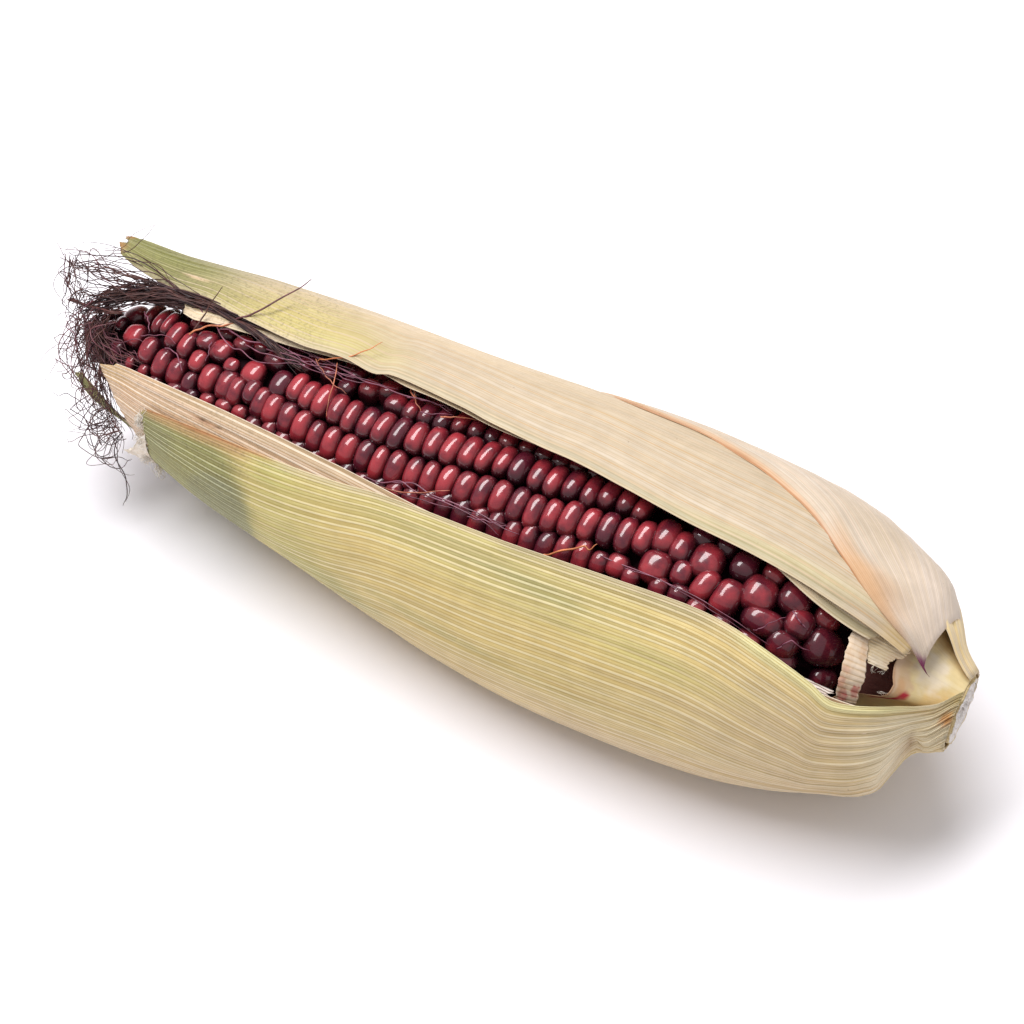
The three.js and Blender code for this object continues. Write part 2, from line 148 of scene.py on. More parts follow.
# Colours of the husk, the kernels and the silk, as red, green and blue of a paint chart.
CREAM = (194, 177, 155)
CREAM_LINE = (188, 156, 116)
STRAW = (213, 191, 130)
STRAW_LINE = (228, 212, 166)
PALE = (216, 194, 162)
PALE_LINE = (220, 201, 172)
LEAF_GREEN = (146, 146, 92)
LEAF_GREEN_LINE = (206, 204, 160)
DARK_GREEN = (136, 136, 100)
DARK_GREEN_LINE = (196, 196, 160)
UPPER_GREEN = (114, 116, 48)
UPPER_GREEN_LINE = (178, 176, 124)
YELLOW_GREEN = (198, 192, 122)
TAN = (222, 192, 166)
TAN_LINE = (240, 222, 202)
PINK = (207, 191, 174)
PINK_LINE = (204, 180, 162)
ORANGE = (206, 158, 112)
RUST = (172, 112, 66)
PURPLE = (128, 34, 92)
# Pink lightened as painted light, for the lower end of the pink back leaf.
PAINTED_LIGHT_PINK = (236, 218, 204)
SHADE_GREEN = (156, 148, 116)
DEEP_YELLOW = (222, 190, 130)
# Yellow lightened as painted light, for the shaded pocket beside the stem.
PAINTED_LIGHT_YELLOW = (248, 222, 168)
WHITE_FIBRE = (226, 214, 204)
# Pale rim of the front leaf near the stem, its own pale yellow lightened further as a painted
# highlight along the rolled edge.
RIM_GREEN_AND_HIGHLIGHT = (230, 222, 164)
YELLOW_STRAW = (192, 176, 106)
# Cream of the front leaf's neck, made lighter than the leaf's own colour as painted light.
NECK_CREAM_PAINTED_LIGHT = (246, 233, 204)
BLUSH = (206, 172, 140)
RED_STAIN = (176, 34, 56)
# Dark brown painted as shade in the hollow beside the stem.
HOLLOW_PAINTED_SHADE = (98, 52, 46)
MARK_ORANGE = (212, 148, 78)
MARK_BROWN = (188, 146, 104)
# Brown painted as shade in the crease at the front leaf's neck.
CREASE_PAINTED_SHADE = (176, 142, 104)
DARK_SPOT = (60, 42, 30)
SPECK_BROWN = (96, 66, 44)
WEATHERED = (70, 62, 40)
KERNEL_DUST = (176, 110, 118)
KERNEL_CRUMB = (232, 206, 208)
HAIR_CREAM = (222, 210, 194)
HAIR_WHITE = (246, 242, 236)
HAIR_ROOT = (206, 180, 140)
# Chaff colours: dark maroon, darkened nearly to black as painted shade for the deep gaps between
# kernels.
CHAFF_PAINTED_SHADE_DARKER = (18, 7, 11)
CHAFF_PAINTED_SHADE_LIGHTER = (46, 18, 27)
STEM_CREAM = (204, 178, 126)
STEM_PALE = (226, 206, 160)
PITH = (222, 210, 202)
PITH_WHITE = (252, 248, 244)
PITH_HOLE = (46, 34, 32)

# The husk leaves. Each runs from its tip to its base between two edges, given as [x, angle]:
# "low" is the edge at the smaller angle. "tip" and "base" give x across the leaf, from its low
# edge (0) to its high edge (1). "layer" is [angle, layers in from the outside]. "gather" draws the
# veins towards the low edge, as [x, power]. "dents" are x, angle, half length, half angle, depth.
# "patches" are colour, line colour, x, angle, half length, half angle, softness, strength.
# "edges" are side, colour, line colour, width, first x, last x, strength.
LEAVES = {
    "husk_front_outer": {
        "slot": "husk_green", "veins": 132, "rows": 155, "seed": 11,
        "gather": [[-90, 1.45], [-60, 1.5], [-10, 1], [112, 1]],
        "low": [[-90, -98], [-80, -116], [-58, -132], [-30, -134], [0, -130], [112, -128]],
        "high": [
            [-89, 18.5], [-78, 22.5], [-66, 25], [-44, 29], [-33, 31.7], [-21, 35.5], [10, 39.5],
            [34, 44], [54, 47], [64, 46], [73, 42], [84, 35.5], [90, 30.5], [102, 37],
            [105.5, 40], [108.5, 46.5], [110, 55], [112.4, 76],
        ],
        "tip": [[0, -80], [0.3, -86], [0.6, -89], [0.85, -88], [0.97, -89.5], [1, -88]],
        "base": [[0, 112.2], [1, 112.4]], "layer": [[0, 0], [1, 0]],
        "tear": 0.9, "rib": 0.035,
        "pleat": [[-90, 0.05], [-40, 0.07], [40, 0.09], [80, 0.16], [100, 0.3], [112, 0.3]],
        "curl": [0, 0.2], "dents": [
            [102.6, -24, 1.4, 24, -1.3], [106.3, -18, 1.7, 24, 2.3], [109.5, -14, 2, 16, -0.5],
            [97, 20, 7, 12, 0.4],
        ],
        "colour": STRAW, "line": STRAW_LINE,
        "width": [[-90, 0.24], [-60, 0.24], [-40, 0.36], [10, 0.42], [112, 0.42]],
        "patches": [
            (PALE, PALE_LINE, 60, -34, 90, 22, 0.8, 0.75),
            (PALE, PALE_LINE, 90, 0, 45, 60, 0.9, 0.7),
            (TAN, PALE_LINE, 103.6, -16, 2.5, 26, 0.8, 0.4),
            # The two neck patches are painted light: cream lightened where the bulge above shades
            # the neck.
            (NECK_CREAM_PAINTED_LIGHT, NECK_CREAM_PAINTED_LIGHT, 108, 16, 13, 44, 0.9, 0.95),
            (NECK_CREAM_PAINTED_LIGHT, NECK_CREAM_PAINTED_LIGHT, 108, -14, 8, 34, 0.8, 0.95),
            (MARK_ORANGE, MARK_ORANGE, 111.4, 32, 1.5, 11, 0.5, 0.9),
            # Painted shade along the crease at the neck.
            (CREASE_PAINTED_SHADE, CREASE_PAINTED_SHADE, 105.4, -14, 1.0, 30, 0.9, 0.75),
            (RUST, RUST, -71, 24, 3.4, 2.2, 0.9, 0.8), (RUST, RUST, -83, 20, 4, 1.8, 0.9, 0.6),
            (DARK_SPOT, DARK_SPOT, 5, -27, 0.45, 0.8, 0.5, 0.9),
            (DARK_SPOT, DARK_SPOT, -88, 4, 0.8, 1.2, 0.6, 0.8),
            (PALE, PALE_LINE, 0, -100, 130, 56, 0.6, 0.8),
            (YELLOW_GREEN, STRAW_LINE, 0, 28, 60, 18, 0.9, 0.6),
            (SHADE_GREEN, STRAW_LINE, 10, 26, 50, 10, 1, 0.35),
            (YELLOW_GREEN, STRAW_LINE, 50, 18, 26, 9, 0.9, 0.5),
            (LEAF_GREEN, LEAF_GREEN_LINE, -34, -24, 22, 12, 0.9, 0.65),
            (YELLOW_GREEN, STRAW_LINE, -50, 20, 9, 10, 0.8, 0.8),
            (LEAF_GREEN, LEAF_GREEN_LINE, 24, 26, 18, 4, 0.9, 0.4),
            (LEAF_GREEN, LEAF_GREEN_LINE, -2, -10, 40, 3, 1, 0.3),
            (YELLOW_GREEN, STRAW_LINE, -48, -10, 20, 60, 0.9, 0.65),
            (LEAF_GREEN, LEAF_GREEN_LINE, -80, -20, 26.5, 60, 0.24, 0.95),
            (DARK_GREEN, DARK_GREEN_LINE, -65, -22, 10.5, 26, 0.2, 0.7),
            (DARK_GREEN, DARK_GREEN_LINE, -61, -6, 6.5, 12, 0.5, 0.65),
            (DARK_GREEN, DARK_GREEN_LINE, -84, 4, 5, 14, 0.8, 0.5),
            (YELLOW_GREEN, LEAF_GREEN_LINE, -80, 20, 14, 6, 0.9, 0.5),
            (DEEP_YELLOW, STRAW_LINE, 100, 36, 14, 7, 0.7, 0.6),
        ],
        "edges": [
            ("high", MARK_BROWN, ORANGE, 2.4, -89, -58, 0.7),
            ("high", RUST, ORANGE, 0.8, -90, -52, 0.8),
            ("high", PALE_LINE, PALE_LINE, 1.2, -50, 80, 0.5),
            ("high", SHADE_GREEN, PALE_LINE, 3.5, 10, 60, 0.45),
            # Painted highlight, over the rim's own pale colour, along the rolled high edge near the
            # stem.
            ("high", RIM_GREEN_AND_HIGHLIGHT, RIM_GREEN_AND_HIGHLIGHT, 3.2, 66, 104, 0.75),
        ],
        "inner": (PALE, PALE_LINE),
    },
    "husk_front_inner": {
        "slot": "husk_tan", "veins": 72, "rows": 130, "seed": 12,
        "low": [[-105, -60], [-80, -75], [104, -70]],
        "high": [
            [-105, 34], [-96, 37.5], [-69, 40], [-34, 38.5], [-11, 36], [40, 37], [80, 32],
            [105, 30],
        ],
        "tip": [[0, -80], [0.45, -92], [0.62, -97.5], [0.8, -102.5], [0.93, -105.8],
            [0.965, -102.6], [1, -101.2]],
        "base": [[0, 104], [1, 105]], "layer": [[-90, 1], [90, 1]],
        "tear": 0.5, "rib": 0.04, "pleat": [[-105, 0.08], [100, 0.2]], "curl": [0, 0], "dents": [],
        "colour": TAN, "line": TAN_LINE, "width": [[-105, 0.4], [0, 0.45]],
        "patches": [
            (DEEP_YELLOW, TAN_LINE, -104, 30, 9, 14, 0.8, 0.4),
            (ORANGE, TAN_LINE, -96, 16, 5, 12, 0.9, 0.35),
            (RUST, RUST, -72, 27.5, 6, 1.6, 0.9, 0.7),
            (DARK_SPOT, RUST, -73, 28, 1.6, 1.2, 0.8, 0.8),
            (DARK_SPOT, RUST, -68, 28, 1.2, 0.9, 0.8, 0.7),
        ],
        "edges": [("high", SHADE_GREEN, PALE_LINE, 4, -85, 0, 0.3)],
        "inner": (PALE, PALE_LINE),
    },
    "husk_front_under": {
        "slot": "husk_green", "veins": 44, "rows": 90, "seed": 13,
        "low": [[-112, -50], [-80, -95], [80, -108], [103, -105]],
        "high": [[-114, 10], [-112.5, 8], [-107.5, -2.5], [-102.5, -14], [-97, -22], [-88, -18],
            [-70, 10], [-40, 26], [60, 26], [103, 22]],
        "tip": [[0, -92], [0.3, -98], [0.6, -108], [0.85, -113.5], [1, -112]],
        "base": [[0, 103], [1, 103]], "layer": [[-110, 2], [90, 2]],
        "tear": 0.6, "rib": 0.05, "pleat": [[-112, 0.1], [100, 0.2]], "curl": [0, 0], "dents": [],
        "colour": LEAF_GREEN, "line": LEAF_GREEN_LINE, "width": [[-105, 0.35], [0, 0.4]],
        "patches": [(PALE, PALE_LINE, 20, -60, 90, 90, 0.6, 0.9),
            (YELLOW_GREEN, LEAF_GREEN_LINE, -102, -6, 14, 24, 0.9, 0.8)],
        "edges": [("high", ORANGE, PALE_LINE, 0.9, -116, -90, 0.7)],
        "inner": (PALE, PALE_LINE),
    },
    "husk_back_main": {
        "slot": "husk_cream", "veins": 62, "rows": 190, "seed": 14,
        "low": [
            [-116, 117], [-108, 110], [-98, 106], [-87, 106], [-75, 101], [-58, 97], [-47, 98.6],
            [-38, 96.2],
            [-34.5, 99.2], [-27, 99], [-17, 96.8], [-6, 93.5], [5, 91.6], [16, 91], [43, 84.6],
            [67, 81], [85, 75.5], [100, 70],
        ],
        "high": [[-116, 172], [-90, 205], [80, 214], [104, 205]],
        "tip": [[0, -114.5], [0.12, -117.5], [0.2, -116], [0.32, -118.5], [0.6, -112], [1, -98]],
        "base": [[0, 99], [0.1, 100.5], [0.2, 102], [1, 104]],
        "layer": [[90, 1.2], [140, 1.2], [180, 1.9], [215, 3.1]],
        "tear": 0.8, "rib": 0.022, "pleat": [[-116, 0.12], [-60, 0.1], [40, 0.1], [100, 0.2]],
        "curl": [-0.25, 0], "dents": [],
        "colour": CREAM, "line": CREAM_LINE,
        "width": [[-118, 0.22], [-60, 0.2], [0, 0.18], [100, 0.2]],
        "patches": [
            (UPPER_GREEN, UPPER_GREEN_LINE, -112, 140, 40, 60, 0.9, 0.9),
            (UPPER_GREEN, CREAM, -88, 112, 30, 14, 0.9, 0.6),
            (UPPER_GREEN, UPPER_GREEN_LINE, -98, 126, 20, 12, 0.9, 0.6),
            (TAN, PINK_LINE, -93, 118, 4.6, 1.5, 0.8, 0.8),
            (DARK_SPOT, DARK_SPOT, -60, 145, 0.5, 0.9, 0.5, 0.9),
            (YELLOW_GREEN, CREAM, -60, 106, 30, 9, 0.9, 0.5),
            (PALE, PALE_LINE, -20, 140, 80, 14, 0.9, 0.5),
            (RUST, RUST, -84, 152, 5, 4, 0.6, 0.6),
            (YELLOW_GREEN, PALE_LINE, 60, 86, 40, 7, 0.9, 0.35),
            (YELLOW_STRAW, CREAM, -62, 114, 30, 24, 0.9, 0.75),
            (RUST, RUST, -118.5, 138, 2.2, 14, 0.8, 0.75),
            (DEEP_YELLOW, PALE_LINE, 98, 76, 6, 8, 0.8, 0.6),
            (RUST, RUST, -117, 120, 3, 8, 0.8, 0.7),
        ],
        "edges": [("low", SHADE_GREEN, PALE_LINE, 2.4, -60, 84, 0.5),
            ("low", PALE_LINE, PALE_LINE, 1.0, -110, 84, 0.4)],
        "inner": (CREAM, PALE_LINE),
    },
    "husk_back_inner": {
        "slot": "husk_cream", "veins": 40, "rows": 110, "seed": 15,
        "low": [[-98, 97], [-90, 93], [-86.8, 91.8], [-82.8, 94], [-78.5, 94.8], [-74.5, 95.6],
            [-70, 96.6], [-64, 97.2], [-58, 98.4], [-52, 100], [-48, 100.5], [-38, 101.5],
            [-34.5, 100.6], [-30, 98.8], [-22, 98], [-15, 96.6], [-6, 94.4], [5, 94.2], [16, 94.6],
            [30, 93.5], [60, 87], [78, 74], [90, 69], [98, 72]],
        "high": [[-98, 192], [-88, 203], [-60, 206], [80, 200], [102, 190]],
        "tip": [[0, -90.4], [0.06, -91.5], [0.14, -96], [0.4, -100], [0.8, -95], [1, -90]],
        "base": [[0, 91], [0.12, 96], [1, 102]],
        "layer": [[90, 2.7], [110, 2.6], [180, 3], [206, 4]],
        "tear": 0.5, "rib": 0.035, "pleat": [[-98, 0.1], [100, 0.2]], "curl": [0.2, 0], "dents": [],
        "colour": PALE, "line": PALE_LINE, "width": [[-98, 0.35], [0, 0.35]],
        "patches": [(SHADE_GREEN, PALE_LINE, 84, 72, 12, 12, 0.7, 0.7)],
        "edges": [("low", PINK, PALE_LINE, 2, -98, -50, 0.5)],
        "inner": (PALE, PALE_LINE),
    },
    "husk_back_outer": {
        "slot": "husk_pink", "veins": 84, "rows": 146, "seed": 16,
        "low": [
            [-100, 174], [-80, 167], [-40, 160], [-10, 156], [4, 151], [10.5, 145], [19, 139.5],
            [31, 136.5], [38, 134],
            [46, 130], [52, 127], [62, 119.5], [70.5, 111.5], [77.5, 101.5], [85.5, 90.5], [93, 82],
            [100, 76.5], [104.5, 69],
        ],
        "high": [[-100, 205], [-70, 222], [80, 228], [106, 222]],
        "tip": [[0, -98], [0.5, -104], [1, -92]],
        "base": [[0, 104.8], [0.02, 104.8], [0.12, 103.2], [0.45, 103.2], [1, 106]],
        "layer": [[60, 0.35], [130, 0.35], [150, 0.5], [180, 1], [225, 2]],
        "gather": [[60, 1], [90, 1.35], [104, 2.2]],
        "tear": 0.1, "rib": 0.012, "pleat": [[-98, 0.1], [60, 0.08], [85, 0.06], [103, 0.05]],
        "curl": [-1.1, 0],
        "dents": [[84, 112, 12, 10, 0.5], [96, 92, 6, 6, 0.8], [104.5, 72, 5, 14, 1.8]],
        "colour": PINK, "line": PINK_LINE, "width": [[-98, 0.3], [60, 0.22], [100, 0.16]],
        "patches": [
            (CREAM, CREAM_LINE, 0, 170, 90, 40, 0.8, 0.7),
            (ORANGE, ORANGE, 84, 96, 14, 9, 0.9, 0.6),
            (ORANGE, RUST, 92, 88, 10, 7, 0.9, 0.4),
            (CREAM, PINK_LINE, 86, 130, 20, 18, 0.9, 0.5),
            # The two light pink patches are painted light where this leaf's lower end turns away
            # from the soft box.
            (PAINTED_LIGHT_PINK, PAINTED_LIGHT_PINK, 101, 92, 9, 18, 0.9, 0.75),
            (PURPLE, PURPLE, 104.2, 71.5, 3.3, 9, 0.4, 0.97),
            (PURPLE, PURPLE, 102, 74, 2.6, 4.5, 1, 0.55),
            (PAINTED_LIGHT_PINK, PAINTED_LIGHT_PINK, 99, 116, 12, 24, 0.9, 0.7),
        ],
        "edges": [("low", ORANGE, ORANGE, 1.6, 2, 72, 0.6),
            ("low", ORANGE, ORANGE, 6.5, 74, 98, 0.55), ("low", RUST, RUST, 0.6, 0, 84, 0.7)],
        "inner": (DEEP_YELLOW, PALE_LINE),
    },
    "husk_far_outer": {
        "slot": "husk_cream", "veins": 64, "rows": 120, "seed": 17,
        "low": [
            [-96, 183], [-60, 173], [0, 169], [60, 169], [84, 166], [91, 158], [96, 138],
            [100, 118], [104, 110], [108, 106], [112, 98],
        ],
        "high": [[-96, 250], [-60, 258], [80, 260], [112.4, 256]],
        "tip": [[0, -95], [0.4, -101], [0.7, -97], [1, -88]],
        "base": [[0, 112.4], [1, 112.4]], "layer": [[90, 0], [185, 0], [225, 1], [262, 1]],
        "tear": 0.6, "rib": 0.035, "pleat": [[-96, 0.1], [40, 0.12], [90, 0.2], [112, 0.25]],
        "curl": [0.2, 0], "dents": [[98.5, 132, 5.5, 26, 2.7], [91, 152, 6, 14, 1.5]],
        "colour": CREAM, "line": PALE_LINE, "width": [[-98, 0.35], [100, 0.35]],
        "patches": [
            (LEAF_GREEN, LEAF_GREEN_LINE, -90, 210, 30, 60, 0.8, 0.8),
            # Painted light on the far leaf's fold by the stem, which the pink back leaf shades; its
            # low edge there is lightened the same way.
            (PAINTED_LIGHT_YELLOW, PALE_LINE, 103, 130, 13, 30, 0.8, 0.9),
            (YELLOW_GREEN, PALE_LINE, -30, 215, 50, 20, 1, 0.5),
        ],
        "edges": [("low", PAINTED_LIGHT_YELLOW, PALE_LINE, 1.5, 90, 113, 0.7)],
        "inner": (DEEP_YELLOW, PALE_LINE),
    },
}

# Locks of silk: how many strands, how far they wander, their thickness in shares of a strand's,
# their darkest and lightest shade, and the places they pass as x, y, z and spread.
SILK_BUNDLE = [
    (64, 0.7, 1.1, 0.0, 0.3, [
        [-60, 5.4, 54.9, 0.3], [-70, 5.0, 54.6, 0.35], [-78, 5.2, 54.1, 0.45],
        [-86, 5.3, 53.5, 0.6], [-92, 5.0, 53.2, 0.85],
        [-98, 4.0, 52.9, 1.1], [-104, 1.4, 51.8, 1.4], [-110, -1.6, 49.6, 1.6],
        [-116, -4, 46.5, 1.6],
    ]),
]
SILK_CROSSING = [
    (34, 0.5, 1.1, 0.0, 0.3, [
        [-86, 5.0, 53.8, 0.3], [-79, 3.9, 54.1, 0.3], [-73, 2.9, 54.5, 0.3], [-68, 1.9, 54.8, 0.35],
        [-64.5, 1.2, 54.3, 0.4], [-61, 0.4, 53.0, 0.5], [-56, -0.2, 52.4, 0.9],
    ]),
    (44, 0.7, 1.0, 0.0, 0.25, [
        [-112, 1, 48, 1.0], [-104, 2.6, 50.4, 0.8], [-98, 3.2, 51.4, 0.7], [-92, 3.6, 52.2, 0.6],
        [-86, 4.4, 53, 0.4],
    ]),
]
SILK_TUFT = [
    (10, 1.6, 0.8, 0.05, 0.4, [
        [-86, 5.4, 53.6, 0.5], [-96, 6, 53.6, 0.9], [-104, 6.5, 54.5, 1.6], [-112, 6, 54, 2.2],
        [-119, 5, 53, 2.6], [-124, 3, 51, 2.8],
    ]),
    (10, 1.6, 0.8, 0.05, 0.4, [
        [-88, 5.2, 53.5, 0.5], [-98, 4.4, 53.2, 1.0], [-107, 3, 52.5, 1.6], [-115, 2, 52, 2.2],
        [-120, 0, 52, 2.4], [-122, -2, 48, 2.2], [-120, -4, 45, 2],
    ]),
    (8, 1.8, 0.8, 0.05, 0.5, [[-92, 4.6, 53.2, 0.6], [-102, 2.5, 53, 1.2], [-112, 1, 52, 2],
        [-118, 0, 54, 2.4], [-123, 0, 56.5, 2.6]]),
    (10, 1.8, 0.75, 0.1, 0.5, [
        [-122, 0, 56.5, 1.6], [-121, -2, 52, 1.8], [-119, -4, 47, 1.8], [-116, -7, 43, 1.8],
        [-113, -10, 38, 1.8],
    ]),
    (7, 1.4, 0.8, 0.0, 0.4, [[-104, 1, 52, 1.4], [-112, -1, 51, 1.6], [-118, -3, 49, 2],
        [-121, -5, 45, 2.2]]),
    (2, 0.5, 1.8, 0.32, 0.38, [[-121, -4, 46.5, 0.3], [-114, -5, 48, 0.3], [-108, -5, 49.5, 0.3],
        [-104, -4, 50, 0.3]]),
    (26, 1.5, 0.8, 0.15, 0.55, [
        [-110, -5, 48, 2.4], [-112.5, -8, 43.5, 3.0], [-112, -11, 39, 3.0], [-109.4, -14, 35, 2.8],
        [-106.4, -16.5, 32, 2.6],
    ]),
    (14, 1.6, 0.8, 0.1, 0.5, [
        [-110, -5, 48, 2.4], [-113, -8, 43.5, 2.8], [-112.2, -11.5, 38.5, 2.6],
        [-109, -14.8, 34, 2.2],
        [-105, -17.2, 30, 2.0], [-101, -19.4, 26, 2.0], [-98.6, -20.4, 23, 2.2],
    ]),
    (9, 1.8, 0.7, 0.1, 0.5, [[-112, -4, 47, 1.6], [-115, -7, 41, 1.8], [-118, -10, 36, 2.4],
        [-121, -12, 32, 2.8]]),
    (6, 2.0, 0.7, 0.1, 0.5, [[-112, -7, 41, 1.8], [-119, -7, 39, 2.4], [-124, -6, 38, 3]]),
    (6, 2.0, 0.7, 0.1, 0.5, [[-112, -10, 38, 1.8], [-116, -12, 33, 2.4], [-120, -12, 30, 3]]),
    (4, 1.6, 0.75, 0.05, 0.3, [[-105, -17, 34, 1], [-109, -19, 31, 1.4], [-110, -20, 27, 1.6],
        [-104, -20, 28, 1.6], [-100, -19, 31, 1]]),
    (4, 1.8, 0.75, 0.05, 0.3, [[-102, -18, 32, 1], [-106, -20, 28, 1.6], [-105, -21, 23, 2],
        [-100, -21, 27, 1.6], [-98, -19, 30, 1]]),
    (4, 1.8, 0.75, 0.05, 0.3, [[-100, -19, 29, 1], [-104, -21, 24, 1.8], [-106, -21, 17, 2.2],
        [-102, -21, 17, 2], [-100, -20, 24, 1.4]]),
    (4, 1.8, 0.75, 0.05, 0.3, [[-98, -19, 26, 1], [-102, -21, 22, 1.8], [-105, -21, 15, 2],
        [-100, -22, 15, 2], [-95, -21, 20, 1.6]]),
    (4, 2.0, 0.7, 0.05, 0.3, [[-99, -20, 24, 1], [-104, -21, 20, 2], [-110, -21, 18, 2.6],
        [-115, -20, 17, 3]]),
    (3, 2.0, 0.7, 0.05, 0.3, [[-101, -19, 27, 1], [-107, -20, 25, 1.6], [-112, -19, 26, 2],
        [-115, -18, 27, 2.4]]),
    (1, 0.6, 0.9, 0.05, 0.2, [[-99, -20, 24, 0.4], [-100, -21.5, 18, 0.6], [-97, -22.5, 13, 0.6],
        [-96, -24, 8, 0.6], [-96.5, -25, 4.5, 0.5]]),
    (1, 0.6, 0.7, 0.05, 0.2, [[-98, -20, 25, 0.4], [-98.5, -22, 17, 0.6], [-95.5, -23, 12, 0.6],
        [-95.5, -25, 7, 0.6]]),
    (14, 1.0, 0.75, 0.05, 0.4, [[-109, -10, 41, 1.8], [-106, -13.5, 37, 1.3],
        [-103, -16.5, 33, 1.1], [-100, -18.6, 29.5, 1.0], [-98, -20, 26, 0.9]]),
    (22, 1.4, 0.8, 0.3, 0.56, [[-113, -5, 43, 1.8], [-108, -8, 42.5, 2], [-104, -9.5, 42, 2],
        [-100, -9.5, 42, 1.8], [-95, -10, 42.5, 1.4]]),
    (16, 1.4, 0.8, 0.25, 0.5, [[-112, -3, 45, 2], [-110, -7, 43, 2], [-108, -11, 40, 2],
        [-105, -13, 37, 1.8]]),
    (2, 1.0, 0.7, 0.1, 0.3, [[-118, 3, 55, 0.6], [-114, 6, 56.5, 0.6], [-111, 8, 58, 0.8],
        [-108, 10, 62, 1], [-105, 12, 65.5, 1]]),
]
